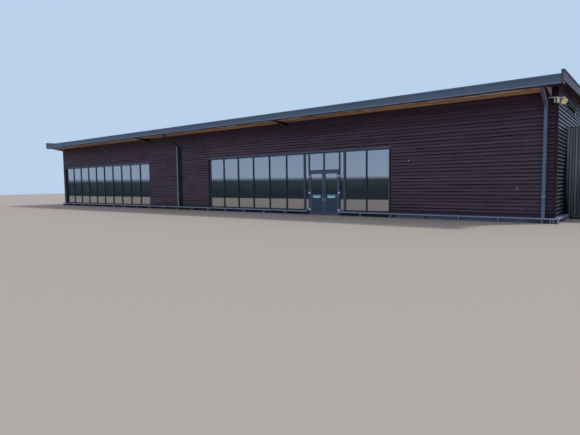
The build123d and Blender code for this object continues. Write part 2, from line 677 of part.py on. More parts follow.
def verge_cap(face, outward):
    """Folded capping along the top of a barge: a top sheet with an outer, an inner and a front fold."""
    y0 = VERGE_FRONT - VERGE_CAP_FRONT
    outer = face + outward * VERGE_OVERHANG
    inner = face + outward * (VERGE_INNER - VERGE_CAP)
    fold = -VERGE_CAP_FOLD

    def strip(x_a, x_b, start, end, low, high):
        return along_x([(start, verge_top(start) + low), (end, verge_top(end) + low),
                        (end, verge_top(end) + high), (start, verge_top(start) + high)],
                       min(x_a, x_b), max(x_a, x_b))

    return fuse([strip(inner, outer, y0, ROOF_END, 0, VERGE_CAP),
                 strip(outer, outer - outward * VERGE_CAP, y0, ROOF_END, fold, 0),
                 strip(inner, inner + outward * VERGE_CAP, y0, ROOF_END, fold, 0),
                 strip(inner, outer, y0, VERGE_FRONT, fold, 0)])


def verge_caps():
    return group([verge_cap(LEFT_FACE, -1), verge_cap(RIGHT_FACE, 1)])


def back_fascia():
    y0 = ROOF_END - BACK_FASCIA
    low = deck_underside(y0) - BACK_FASCIA_DROP
    high = deck_underside(y0) + DECK_THICKNESS + BACK_FASCIA_RISE
    return block(LEFT_FACE - VERGE_INNER, RIGHT_FACE + VERGE_INNER, y0, ROOF_END, low, high)


# Rainwater pipes

def pipe_run(start, end):
    """A straight run of square pipe between two points."""
    a = Vector(*start)
    b = Vector(*end)
    run = b - a
    section = Plane(origin=a, x_dir=run.cross(Vector(0, 0, 1)) if abs(run.X) + abs(run.Y) > 1 else (1, 0, 0),
                    z_dir=run)
    return extrude(section * Rectangle(PIPE_SIZE, PIPE_SIZE), run.length)


def downpipe(outlet_x, pipe_x, elbow, collars):
    """Outlet under the gutter, a swan neck back to the wall, and a drop to the ledge."""
    outlet_y = FASCIA_FACE + PIPE_OUTLET_FROM_FASCIA
    wall_y = FRONT_FACE - PIPE_OFF_WALL - PIPE_SIZE / 2
    bend = GUTTER_BOTTOM - PIPE_OUTLET_DROP
    half = PIPE_SIZE / 2
    parts = [
        block(outlet_x - half, outlet_x + half, outlet_y - half, outlet_y + half, bend - half, GUTTER_BOTTOM),
        pipe_run((outlet_x, outlet_y, bend), (pipe_x, wall_y, elbow)),
        block(pipe_x - half, pipe_x + half, wall_y - half, wall_y + half, LEDGE_TOP, elbow + half),
    ]
    for level in collars:
        wide = half + PIPE_COLLAR
        parts.append(block(pipe_x - wide, pipe_x + wide, wall_y - wide, FRONT_FACE,
                           level, level + PIPE_COLLAR_HEIGHT))
    return fuse(parts)


# Vent, lamp and yard screen

def side_vent():
    """Slim louvre in the right wall: a frame with tilted blades."""
    y0 = FRONT_FACE + VENT_FROM_FRONT
    y1 = y0 + VENT_LENGTH
    z0 = VENT_BOTTOM
    z1 = VENT_BOTTOM + VENT_HEIGHT
    x0 = RIGHT_FACE - WALL_THICKNESS
    x1 = RIGHT_FACE + VENT_PROUD
    frame = block(x0, x1, y0, y1, z0, z1)
    frame = frame - block(x0 - VENT_PROUD, x1 + VENT_PROUD, y0 + VENT_FRAME, y1 - VENT_FRAME,
                          z0 + VENT_FRAME, z1 - VENT_FRAME)
    clear = VENT_HEIGHT - 2 * VENT_FRAME
    depth = WALL_THICKNESS / 2
    parts = [frame]
    for i in range(VENT_BLADES):
        z = z0 + VENT_FRAME + (i + 0.5) * clear / VENT_BLADES
        blade = Box(depth, VENT_LENGTH - 2 * VENT_FRAME, VENT_BLADE_THICKNESS)
        parts.append(Pos(RIGHT_FACE - depth / 2, (y0 + y1) / 2, z) * Rot(0, VENT_BLADE_TILT, 0) * blade)
    return fuse(parts)


LAMP_X = RIGHT_FACE + LAMP_FROM_CORNER
LAMP_BACK = FRONT_FACE - LAMP_FORWARD


def turned(points):
    """A solid turned about the lamp's own axis from a half profile of (radius, forward) points."""
    outline = Polyline(*[(radius, 0, forward) for radius, forward in points], close=True)
    body = revolve(make_face(outline), Axis.Z)
    return Pos(LAMP_X, LAMP_BACK, LAMP_LEVEL) * Rot(90, 0, 0) * body


def lamp_housing():
    """Round lamp body that faces the forecourt: a tapered back, a drum and a bezel."""
    shoulder = LAMP_BODY_DEPTH / 3
    bezel_back = LAMP_BODY_DEPTH - LAMP_BEZEL_DEPTH
    drum = LAMP_RADIUS - LAMP_BEZEL / 2
    return turned([(0, 0), (LAMP_BACK_RADIUS, 0), (drum, shoulder), (drum, bezel_back),
                   (LAMP_RADIUS, bezel_back), (LAMP_RADIUS, LAMP_BODY_DEPTH), (0, LAMP_BODY_DEPTH)])


def lamp_lens():
    """Domed diffuser that stands in front of the bezel."""
    rim = LAMP_RADIUS - LAMP_BEZEL
    steps = 6
    angles = [i * math.pi / 2 / steps for i in range(steps)]
    arc = [(rim * math.cos(angle), LAMP_BODY_DEPTH + LAMP_DOME * math.sin(angle)) for angle in angles]
    return turned([(0, LAMP_BODY_DEPTH)] + arc + [(0, LAMP_BODY_DEPTH + LAMP_DOME)])


def rod(start, end, radius):
    """A round bar between two points."""
    a = Vector(*start)
    run = Vector(*end) - a
    return extrude(Plane(origin=a, z_dir=run) * Circle(radius), run.length)


def lamp_bracket():
    """Box on the corner, an arm and knuckle that hold the lamp, a sensor, and the conduit to them all."""
    face = FRONT_FACE - CORNER_BOARD_THICKNESS
    y = face - LAMP_BOX_DEPTH / 2
    box_right = RIGHT_FACE + CORNER_BOARD_THICKNESS + LAMP_BOX_PAST_CORNER
    box_left = box_right - LAMP_BOX_WIDTH
    box_top = LAMP_BOX_BOTTOM + LAMP_BOX_HEIGHT
    box_x = (box_left + box_right) / 2
    box = block(box_left, box_right, face - LAMP_BOX_DEPTH, face, LAMP_BOX_BOTTOM, box_top)

    lamp_top = LAMP_LEVEL + LAMP_RADIUS
    arm = rod((box_x, y, box_top - LAMP_ARM_RADIUS * 2), (LAMP_X, y, lamp_top + LAMP_ARM_RADIUS), LAMP_ARM_RADIUS)
    half = KNUCKLE_WIDTH / 2
    knuckle = block(LAMP_X - half, LAMP_X + half, LAMP_BACK - LAMP_BODY_DEPTH + LAMP_BEZEL_DEPTH + 2, LAMP_BACK,
                    lamp_top - 2 * LAMP_BEZEL, lamp_top + half)
    drum = Cylinder(LAMP_RADIUS - LAMP_BEZEL / 2, 3 * LAMP_BODY_DEPTH)
    knuckle = knuckle - Pos(LAMP_X, LAMP_BACK, LAMP_LEVEL) * Rot(90, 0, 0) * drum

    pipe_edge = RIGHT_FACE - RIGHT_PIPE_FROM_END + PIPE_SIZE / 2 + PIPE_COLLAR
    feed = rod((pipe_edge, y, CONDUIT_LEVEL), (box_x, y, CONDUIT_LEVEL), CONDUIT_RADIUS)
    drop = rod((box_x, y, box_top - CONDUIT_RADIUS), (box_x, y, CONDUIT_LEVEL + CONDUIT_RADIUS), CONDUIT_RADIUS)
    sensor_x = RIGHT_FACE - SENSOR_FROM_CORNER
    sensor = rod((sensor_x, y, CONDUIT_LEVEL), (sensor_x, y, CONDUIT_LEVEL - SENSOR_LENGTH), SENSOR_RADIUS)
    return fuse([box, arm, knuckle, feed, drop, sensor])


SCREEN_Y = FRONT_FACE + SCREEN_FROM_FRONT
SCREEN_POSTS = [RIGHT_FACE + LEDGE_PROUD + SCREEN_POST / 2, RIGHT_FACE + SCREEN_RUN - SCREEN_POST / 2]


def yard_screen_posts():
    """Posts at the ends and the middle of the run, with three rails between them."""
    left, right = SCREEN_POSTS
    middle = (left + right) / 2
    half = SCREEN_POST / 2
    parts = [block(x - half, x + half, SCREEN_Y, SCREEN_Y + SCREEN_POST, 0, SCREEN_TOP - SCREEN_CAP)
             for x in (left, middle, right)]
    for level in SCREEN_RAIL_LEVELS:
        parts.append(block(left, right, SCREEN_Y, SCREEN_Y + SCREEN_RAIL, level, level + SCREEN_RAIL))
    return fuse(parts)


def yard_screen_sheet():
    """Boarding that runs up to the wall's cladding, cut away round the ledge."""
    sheet = block(RIGHT_FACE + SCREEN_FROM_WALL, SCREEN_POSTS[1] + SCREEN_POST / 2,
                  SCREEN_Y - SCREEN_SHEET, SCREEN_Y, SCREEN_GROUND_GAP, SCREEN_TOP - SCREEN_CAP)
    return sheet - block(RIGHT_FACE, RIGHT_FACE + LEDGE_PROUD + SCREEN_LEDGE_GAP,
                         SCREEN_Y - 2 * SCREEN_SHEET, SCREEN_Y + SCREEN_SHEET, 0, LEDGE_TOP + SCREEN_LEDGE_GAP)


def yard_screen_cap():
    return block(RIGHT_FACE + SCREEN_FROM_WALL, SCREEN_POSTS[1] + SCREEN_POST / 2,
                 SCREEN_Y - SCREEN_SHEET, SCREEN_Y + SCREEN_POST, SCREEN_TOP - SCREEN_CAP, SCREEN_TOP)


RIGHT_PIPE_X = RIGHT_FACE - RIGHT_PIPE_FROM_END
LEFT_PIPE_X = RIGHT_FACE - LEFT_PIPE_FROM_END
LEFT_OUTLET_X = RIGHT_FACE - LEFT_PIPE_OUTLET_FROM_END
LIGHTS_LEFT_OF_ENTRANCE = LIGHT_COUNT - ENTRANCE_LIGHTS - LIGHTS_RIGHT_OF_ENTRANCE

nodes = {
    "floor_slab": floor_slab(),
    "entrance_step": entrance_step(),
    "plinth_front": plinth_front(),
    "plinth_back": plinth_back(),
    "plinth_sides": plinth_sides(),
    "ledge_front": ledge_front(),
    "ledge_back": ledge_back(),
    "ledge_sides": ledge_sides(),
    "ledge_brackets": ledge_brackets(),
    "wall_front_left": wall_front_pier(LEFT_FACE, WINDOW_1_LEFT),
    "wall_front_middle": wall_front_pier(WINDOW_1_RIGHT, WINDOW_2_LEFT),
    "wall_front_right": wall_front_pier(WINDOW_2_RIGHT, RIGHT_FACE),
    "wall_front_head": wall_front_head(),
    "wall_back": wall_back(),
    "wall_left": wall_side(LEFT_FACE, LEFT_FACE + WALL_THICKNESS),
    "wall_right": wall_right(),
    "corner_boards": corner_boards(),
    "window_1_frame": window_frame(WINDOW_1_LEFT, LIGHT_COUNT),
    "window_1_glass": window_glass(WINDOW_1_LEFT, LIGHT_COUNT),
    "window_2_left_frame": window_frame(WINDOW_2_LEFT, LIGHTS_LEFT_OF_ENTRANCE),
    "window_2_left_glass": window_glass(WINDOW_2_LEFT, LIGHTS_LEFT_OF_ENTRANCE),
    "window_2_right_frame": window_frame(ENTRANCE_RIGHT, LIGHTS_RIGHT_OF_ENTRANCE),
    "window_2_right_glass": window_glass(ENTRANCE_RIGHT, LIGHTS_RIGHT_OF_ENTRANCE),
    "head_flashings": head_flashings(),
    "entrance_left_frame": entrance_side_frame(ENTRANCE_LEFT, DOORWAY_LEFT),
    "entrance_right_frame": entrance_side_frame(ENTRANCE_RIGHT, DOORWAY_RIGHT),
    "fanlight_frame": fanlight_frame(),
    "entrance_glass": entrance_glass(),
    "entrance_threshold": entrance_threshold(),
    "post_hinges": post_hinges(),
    "left_leaf_frame": leaf_frame(LEFT_LEAF),
    "left_leaf_glass": leaf_glass(LEFT_LEAF),
    "left_leaf_hinges": leaf_hinges(LEFT_LEAF),
    "left_leaf_pull": leaf_pull(LEFT_LEAF),
    "right_leaf_frame": leaf_frame(RIGHT_LEAF),
    "right_leaf_glass": leaf_glass(RIGHT_LEAF),
    "right_leaf_hinges": leaf_hinges(RIGHT_LEAF),
    "right_leaf_pull": leaf_pull(RIGHT_LEAF),
    "roof_beams": group([roof_beam(x) for x in GRID_LINES]),
    "roof_deck": roof_deck(),
    "eaves_fascia": eaves_fascia(),
    "gutter_sole": gutter_sole(),
    "gutter_back": gutter_back(),
    "gutter_stop_ends": gutter_stop_ends(),
    "eaves_soffit": eaves_soffit(),
    "verge_boxes": group([verge(LEFT_FACE, -1), verge(RIGHT_FACE, 1)]),
    "verge_panels": group([verge_panels(LEFT_FACE, -1), verge_panels(RIGHT_FACE, 1)]),
    "verge_caps": verge_caps(),
    "back_fascia": back_fascia(),
    "downpipe_left": downpipe(LEFT_OUTLET_X, LEFT_PIPE_X, LEFT_PIPE_ELBOW, [RIGHT_PIPE_COLLAR_LEVEL]),
    "downpipe_right": downpipe(RIGHT_PIPE_X, RIGHT_PIPE_X, RIGHT_PIPE_ELBOW, [RIGHT_PIPE_COLLAR_LEVEL]),
    "side_vent": side_vent(),
    "lamp_housing": lamp_housing(),
    "lamp_lens": lamp_lens(),
    "lamp_bracket": lamp_bracket(),
    "yard_screen_posts": yard_screen_posts(),
    "yard_screen_sheet": yard_screen_sheet(),
    "yard_screen_cap": yard_screen_cap(),
}

os.makedirs("parts", exist_ok=True)
for name, shape in nodes.items():
    export_step(shape, f"parts/{name}.step")
print("door axes", LEFT_LEAF.axis_x, RIGHT_LEAF.axis_x, LEFT_LEAF.axis_y)
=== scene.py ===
import math
import random

import bmesh
import bpy
from mathutils import Matrix, Vector


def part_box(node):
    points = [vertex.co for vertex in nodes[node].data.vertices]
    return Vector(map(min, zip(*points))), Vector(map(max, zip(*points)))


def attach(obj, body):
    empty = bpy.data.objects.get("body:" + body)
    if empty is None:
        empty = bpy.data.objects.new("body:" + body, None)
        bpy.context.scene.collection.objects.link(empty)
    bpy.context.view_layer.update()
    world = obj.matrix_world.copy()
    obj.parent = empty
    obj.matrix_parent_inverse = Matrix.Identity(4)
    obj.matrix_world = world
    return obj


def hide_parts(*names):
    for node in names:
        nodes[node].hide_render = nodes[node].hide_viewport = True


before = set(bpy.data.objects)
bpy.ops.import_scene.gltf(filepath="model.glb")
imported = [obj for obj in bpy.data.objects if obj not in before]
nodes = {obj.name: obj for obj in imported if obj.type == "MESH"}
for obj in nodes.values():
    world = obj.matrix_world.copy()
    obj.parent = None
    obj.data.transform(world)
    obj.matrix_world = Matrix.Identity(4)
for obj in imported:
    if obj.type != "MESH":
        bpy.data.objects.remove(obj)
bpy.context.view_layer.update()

scene = bpy.context.scene

# The stand from which the building is seen.
# A camera at eye height off the right corner, a plain pale floor, a large soft sun high on the right
# and a plain sky. Gloss mirrors a dark band low in that sky, and a floor that turns dark 20 m away.
SENSOR = 36.0
FOCAL_SHARE = 451.6 / 580
EYE = Vector((19.645, -24.18, 1.55))
YAW, PITCH, ROLL = 0.6635, 0.0738, -0.0127
camera = bpy.data.cameras.new("camera")
camera.sensor_width = SENSOR
camera.lens = FOCAL_SHARE * SENSOR
camera.clip_end = 500
ahead = Vector((-math.sin(YAW), math.cos(YAW), 0))
aside = Vector((math.cos(YAW), math.sin(YAW), 0))
above = Vector((0, 0, 1))
aim = ahead * math.cos(PITCH) - above * math.sin(PITCH)
lift = above * math.cos(PITCH) + ahead * math.sin(PITCH)
rolled_aside = aside * math.cos(ROLL) + lift * math.sin(ROLL)
rolled_lift = lift * math.cos(ROLL) - aside * math.sin(ROLL)
stand = Matrix((rolled_aside, rolled_lift, -aim)).transposed().to_4x4()
stand.translation = EYE
camera_object = bpy.data.objects.new("camera", camera)
scene.collection.objects.link(camera_object)
camera_object.matrix_world = stand
scene.camera = camera_object
scene.view_settings.view_transform = "Standard"


def colour(red, green, blue):
    """A colour given as a paint card gives it, from 0 to 255, for a colour socket."""
    steps = [value / 255 for value in (red, green, blue)]
    return (*[s / 12.92 if s < 0.04045 else ((s + 0.055) / 1.055) ** 2.4 for s in steps], 1)


class Brush:
    """One socket of a finish. Sums of brushes lay Math nodes, and lay() puts in any other node."""

    def __init__(self, tree, socket=None):
        self.tree = tree
        self.socket = socket

    def lay(self, kind, settings, sockets, out=0):
        node = self.tree.nodes.new("ShaderNode" + kind)
        for name, value in settings.items():
            if name == "stops":
                ramp = node.color_ramp.elements
                while len(ramp) < len(value):
                    ramp.new(1)
                for stop, (place, shade) in zip(ramp, value):
                    stop.position = place
                    stop.color = shade
            else:
                setattr(node, name, value)
        self.fill(node, sockets)
        return Brush(self.tree, node.outputs[out])

    def fill(self, node, sockets):
        for name, value in sockets.items():
            if isinstance(value, Brush):
                self.tree.links.new(value.socket, node.inputs[name])
            else:
                node.inputs[name].default_value = value

    def sum(self, operation, first, second):
        return self.lay("Math", {"operation": operation}, {0: first, 1: second})

    def __add__(self, other):
        return self.sum("ADD", self, other)

    def __radd__(self, other):
        return self.sum("ADD", other, self)

    def __sub__(self, other):
        return self.sum("SUBTRACT", self, other)

    def __rsub__(self, other):
        return self.sum("SUBTRACT", other, self)

    def __mul__(self, other):
        return self.sum("MULTIPLY", self, other)

    def __rmul__(self, other):
        return self.sum("MULTIPLY", other, self)

    def __pow__(self, other):
        return self.sum("POWER", self, other)

    def fraction(self):
        """What is left of the value after its whole number."""
        return self.sum("FRACT", self, 0.0)

    def size(self):
        """The value without its sign."""
        return self.sum("ABSOLUTE", self, 0.0)

    def ramp(self, low, high):
        """0 up to a low value, 1 from a high value on, and a smooth rise between them."""
        return self.lay("MapRange", {"interpolation_type": "SMOOTHSTEP"}, {0: self, 1: low, 2: high})

    def held(self):
        """The same value kept between 0 and 1."""
        return self.lay("Clamp", {}, {0: self})

    def mix(self, first, second):
        """The first colour where this mask is 0 and the second where it is 1."""
        return self.lay("Mix", {"data_type": "RGBA"}, {0: self, 6: first, 7: second}, out=2)


BACKDROP = colour(186, 210, 236)
DAYLIGHT = (0.62, 0.64, 0.69, 1)
MIRRORED_BANDS = [(0.0, colour(70, 74, 80)), (0.49, colour(36, 42, 42)), (0.510, colour(58, 66, 64)),
                  (0.514, colour(196, 218, 250)), (0.60, colour(180, 208, 252)),
                  (1.0, colour(132, 170, 240))]


def soft_sky():
    """Even light overhead, a plain backdrop, and a pale sky over a dark low band for gloss to mirror."""
    world = bpy.data.worlds.new("sky")
    scene.world = world
    world.use_nodes = True
    brush = Brush(world.node_tree)
    seen = {name: brush.lay("LightPath", {}, {}, out=name)
            for name in ("Is Camera Ray", "Is Glossy Ray", "Is Transmission Ray")}
    direction = brush.lay("TexCoord", {}, {}, out="Generated")
    height = brush.lay("SeparateXYZ", {}, {0: direction}, out="Z")
    mirrored = brush.lay("ValToRGB", {"stops": MIRRORED_BANDS}, {0: height + 0.5})
    shade = seen["Is Glossy Ray"].mix(DAYLIGHT, mirrored)
    shade = (seen["Is Camera Ray"] + seen["Is Transmission Ray"]).held().mix(shade, BACKDROP)
    brush.fill(world.node_tree.nodes["Background"], {"Color": shade})


soft_sky()
SUN_FROM = Vector((0.42, 0.40, 0.82))
sun = bpy.data.lights.new("sun", "SUN")
sun.energy = 2.0
sun.angle = math.radians(6)
sun.color = (1.0, 0.97, 0.92)
sun_object = bpy.data.objects.new("sun", sun)
scene.collection.objects.link(sun_object)
sun_object.rotation_euler = SUN_FROM.to_track_quat("Z", "Y").to_euler()

FLOOR_REACH = 90
floor_mesh = bpy.data.meshes.new("floor")
floor_mesh.from_pydata([(-FLOOR_REACH, -FLOOR_REACH, 0), (FLOOR_REACH, -FLOOR_REACH, 0),
                        (FLOOR_REACH, FLOOR_REACH, 0), (-FLOOR_REACH, FLOOR_REACH, 0)], [], [(0, 1, 2, 3)])
floor = bpy.data.objects.new("floor", floor_mesh)
scene.collection.objects.link(floor)


def finish(name, fixed):
    """A new Principled finish with its fixed sockets set, and a brush to paint the rest."""
    made = bpy.data.materials.new(name)
    made.use_nodes = True
    brush = Brush(made.node_tree)
    brush.fill(made.node_tree.nodes["Principled BSDF"], fixed)
    return made, brush


def paint(made, brush, sockets):
    """Links what varies over a surface to the finish's own sockets."""
    brush.fill(made.node_tree.nodes["Principled BSDF"], sockets)
    return made


MIRRORED_END = -25.0
FLOOR_PALE, FLOOR_ENDS = colour(168, 161, 155), colour(42, 48, 48)
floor_finish, floor_brush = finish("studio_floor", {"Roughness": 0.9, "Specular IOR Level": 0.1})
floor_place = floor_brush.lay("TexCoord", {}, {}, out="Object")
floor_depth = floor_brush.lay("SeparateXYZ", {}, {0: floor_place}, out="Y")
far_off = 1 - floor_depth.ramp(MIRRORED_END, MIRRORED_END + 1)
in_glass = floor_brush.lay("LightPath", {}, {}, out="Is Glossy Ray")
paint(floor_finish, floor_brush, {"Base Color": (far_off * in_glass).mix(FLOOR_PALE, FLOOR_ENDS)})
floor.data.materials.append(floor_finish)


# Concrete base.
# A power-floated ground slab, a broomed step at the doors and a rendered plinth set back under the ledge,
# cast in place. Open movement joints cut the slab into bays.
def speckle(brush, place, scale, detail=4, rough=0.6):
    """Cloudy noise over a surface at so many marks a metre, from 0 to 1."""
    return brush.lay("TexNoise", {}, {"Vector": place, "Scale": scale, "Detail": detail,
                                      "Roughness": rough})


def place_of(brush):
    """Position on the building, in metres."""
    return brush.lay("TexCoord", {}, {}, out="Object")


def rises(brush, height, distance, strength=0.6):
    """Surface relief from a height, as deep as a distance in metres."""
    return brush.lay("Bump", {}, {"Height": height, "Distance": distance, "Strength": strength})


def concrete(name, dark, light, weather=None):
    """Cast or rendered cement: cloudy, gritty and finely pitted."""
    made, brush = finish(name, {"Specular IOR Level": 0.3})
    place = place_of(brush)
    clouds = speckle(brush, place, 1.3)
    grit = speckle(brush, place, 220, 2)
    pits = brush.lay("TexVoronoi", {}, {"Vector": place, "Scale": 90.0})
    shade = (clouds * 0.9 + grit * 0.4 - 0.15).held().mix(dark, light)
    if weather:
        shade = weather(brush, place, shade)
    return paint(made, brush, {"Base Color": shade, "Roughness": 0.72 + grit * 0.22,
                               "Normal": rises(brush, grit + pits * 0.5, 0.0015)})


def dress(material, *names):
    """Gives CAD nodes a finish in place of their plain one."""
    for name in names:
        for place in nodes[name].material_slots:
            place.material = material


slab_concrete = concrete("slab_concrete", colour(88, 88, 88), colour(120, 119, 116))
dress(slab_concrete, "floor_slab", "entrance_step")


FRONT_OF_PLINTH, PAST_GLAZING, NEAR_PIPE = (-5.2, -5.0), (10.6, 11.2), (16.2, 16.4)


def paler_past_glazing(brush, place, shade):
    """Render paler in front, past the glazing's right end, and less so near the pipe."""
    along = brush.lay("SeparateXYZ", {}, {0: place}, out="X")
    front = 1 - brush.lay("SeparateXYZ", {}, {0: place}, out="Y").ramp(*FRONT_OF_PLINTH)
    paler_share = front * along.ramp(*PAST_GLAZING) * (0.9 - along.ramp(*NEAR_PIPE) * 0.4)
    return paler_share.mix(shade, colour(122, 140, 168))


plinth_render = concrete("plinth_render", colour(40, 46, 60), colour(62, 68, 84), weather=paler_past_glazing)
dress(plinth_render, "plinth_front", "plinth_back", "plinth_sides")


class Stock:
    """Lengths of material gathered into one joined piece. Each has a tone, for boards differ."""

    def __init__(self):
        self.points = []
        self.faces = []
        self.tones = []

    def solid(self, near, far, tone=0.5):
        """A length between two end outlines with the same number of points."""
        start = len(self.points)
        count = len(near)
        self.points += [*near, *far]
        self.tones += [tone] * (2 * count)
        ring = [start + i for i in range(count)]
        self.faces += [ring[::-1], [i + count for i in ring]]
        self.faces += [(ring[i - 1], ring[i], ring[i] + count, ring[i - 1] + count) for i in range(count)]

    def bar(self, x0, x1, y0, y1, z0, z1, tone=0.5):
        """A square-edged length between two corners."""
        ends = [[(x, y0, z0), (x, y1, z0), (x, y1, z1), (x, y0, z1)] for x in (x0, x1)]
        self.solid(*ends, tone)

    def stud(self, centre, out, radius, height, sides=6, tone=0.5):
        """A round or six-sided head with a chamfered top that stands out from a face."""
        centre = Vector(centre)
        out = Vector(out)
        across = out.orthogonal().normalized()
        up = out.cross(across)
        turns = [2 * math.pi * i / sides for i in range(sides)]
        rings = []
        for share, size in ((0, 1), (0.6, 1), (1, 0.72)):
            rings.append([tuple(centre + out * height * share
                                + (across * math.cos(turn) + up * math.sin(turn)) * radius * size)
                          for turn in turns])
        self.solid(rings[0], rings[1], tone)
        self.solid(rings[1], rings[2], tone)

    def piece(self, name, material, body="root", edge=0.0):
        """The joined piece, with its normals set, its edges eased, and riding on a body."""
        mesh = bpy.data.meshes.new(name)
        mesh.from_pydata(self.points, [], self.faces)
        grain = mesh.attributes.new("tone", "FLOAT", "POINT")
        grain.data.foreach_set("value", self.tones)
        shape = bmesh.new()
        shape.from_mesh(mesh)
        bmesh.ops.recalc_face_normals(shape, faces=shape.faces)
        shape.to_mesh(mesh)
        shape.free()
        mesh.materials.append(material)
        made = bpy.data.objects.new(name, mesh)
        scene.collection.objects.link(made)
        if edge:
            eased = made.modifiers.new("eased", "BEVEL")
            eased.width = edge
            eased.segments = 1
            eased.limit_method = "ANGLE"
            eased.angle_limit = math.radians(40)
        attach(made, body)
        return made


SLAB_BAY, SLAB_JOINTS = 4.0, 8
JOINT_WIDTH, JOINT_DEPTH, JOINT_PROUD = 0.012, 0.004, 0.0015
JOINT_STOP = 0.02
slab_low, slab_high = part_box("floor_slab")
joints = Stock()
for step in range(SLAB_JOINTS):
    x = slab_low.x + (step + 1) * SLAB_BAY
    joints.bar(x - JOINT_WIDTH / 2, x + JOINT_WIDTH / 2, slab_low.y + JOINT_STOP, slab_high.y - JOINT_STOP,
               slab_high.z - JOINT_DEPTH, slab_high.z + JOINT_PROUD)
joint_filler = concrete("joint_filler", colour(46, 46, 48), colour(60, 60, 62))
joints.piece("slab_joint_strips", joint_filler)


# Ledge over the plinth.
# Folded sheet metal with a turned-down lip, powder coated blue-grey. It comes in 3 m lengths, joined by
# butt straps, and short angle brackets bolted to the plinth hold its lip.
def sheet_metal(name, shade, rough=0.42, dust=0.35, ripple=0.002, weather=None):
    """Coated sheet: a slightly uneven sheen, dust where it faces up, and faint rippling of flat metal."""
    made, brush = finish(name, {"Specular IOR Level": 0.4})
    place = place_of(brush)
    clouds = speckle(brush, place, 0.9)
    fine = speckle(brush, place, 60, 3)
    streaks = speckle(brush, brush.lay("Mapping", {}, {"Vector": place, "Scale": (9, 9, 0.7)}), 1.6)
    facing = brush.lay("NewGeometry", {}, {}, out="Normal")
    upward = brush.lay("SeparateXYZ", {}, {0: facing}, out="Z").held()
    lighter = [min(1, c * 1.28 + 0.012) for c in shade[:3]] + [1]
    deep = [c * 0.80 for c in shade[:3]] + [1]
    body = (clouds * 0.7 + streaks * 0.5 - 0.1).held().mix(deep, lighter)
    if weather:
        body = weather(brush, place, body)
    dusty = (upward * (0.35 + fine * 0.6) * dust).held().mix(body, colour(150, 148, 142))
    return paint(made, brush, {"Base Color": dusty, "Roughness": rough + fine * 0.12 + clouds * 0.1,
                               "Normal": rises(brush, clouds + fine * 0.04, ripple, 0.35)})


ledge_coat = sheet_metal("ledge_coat", colour(130, 144, 176))
dress(ledge_coat, "ledge_front", "ledge_back", "ledge_sides")
bracket_zinc = sheet_metal("bracket_zinc", colour(122, 126, 144), 0.5)
dress(bracket_zinc, "ledge_brackets")


def span(node, axis):
    """Where a CAD node starts and ends along an axis, to a tenth of a millimetre."""
    return [round(getattr(corner, axis), 4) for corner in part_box(node)]


LEFT, RIGHT = span("wall_front_head", "x")
FRONT, BACK = span("wall_front_head", "y")[0], span("wall_back", "y")[1]
SHEET_LENGTH, SHEET_JOINTS = 3.0, 12
STRAP = 0.0012
CLEAR = 0.002
LEDGE_STRAP_REACH, STRAP_FROM_WALL, BESIDE_DOOR = 0.03, 0.03, 0.1
ledge_low, ledge_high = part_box("ledge_front")
door_low, door_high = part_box("entrance_threshold")
straps = Stock()
for step in range(SHEET_JOINTS):
    x = ledge_high.x - (step + 1) * SHEET_LENGTH
    a, b = x - LEDGE_STRAP_REACH, x + LEDGE_STRAP_REACH
    if not door_low.x - BESIDE_DOOR < x < door_high.x + BESIDE_DOOR:
        straps.bar(a, b, ledge_low.y - STRAP, FRONT - STRAP_FROM_WALL, ledge_high.z, ledge_high.z + STRAP)
        straps.bar(a, b, ledge_low.y - STRAP, ledge_low.y, ledge_low.z + CLEAR, ledge_high.z)
straps.piece("ledge_butt_straps", ledge_coat)

AT_CORNER = (0.110, 0.020, -0.118)
BRACKET_PITCH, BRACKETS = 1.5, 24
SIDE_PITCH, FIRST_SIDE, SIDE_BRACKETS = 0.86, 1.58, 13
BESIDE_STEP = 0.025
BOLT_LEVELS = (0.06, 0.125)
BOLT_HEAD = (0.009, 0.007)
bracket_lines = [RIGHT - BRACKET_PITCH / 4 - step * BRACKET_PITCH for step in range(BRACKETS)]
bracket_lines += [RIGHT - inward for inward in AT_CORNER] + [LEFT + inward for inward in AT_CORNER]
bracket_left, bracket_right = span("ledge_brackets", "x")
bracket_front, bracket_back = span("ledge_brackets", "y")
step_left, step_right = span("entrance_step", "x")
bolts = Stock()
for level in BOLT_LEVELS:
    for x in bracket_lines:
        bolts.stud((x, bracket_back, level), (0, 1, 0), *BOLT_HEAD)
        if not step_left - BESIDE_STEP < x < step_right + BESIDE_STEP:
            bolts.stud((x, bracket_front, level), (0, -1, 0), *BOLT_HEAD)
    for step in range(SIDE_BRACKETS):
        for x, out in ((bracket_right, 1), (bracket_left, -1)):
            bolts.stud((x, FRONT + FIRST_SIDE + step * SIDE_PITCH, level), (out, 0, 0), *BOLT_HEAD)
bolts.piece("ledge_bracket_bolts", bracket_zinc)


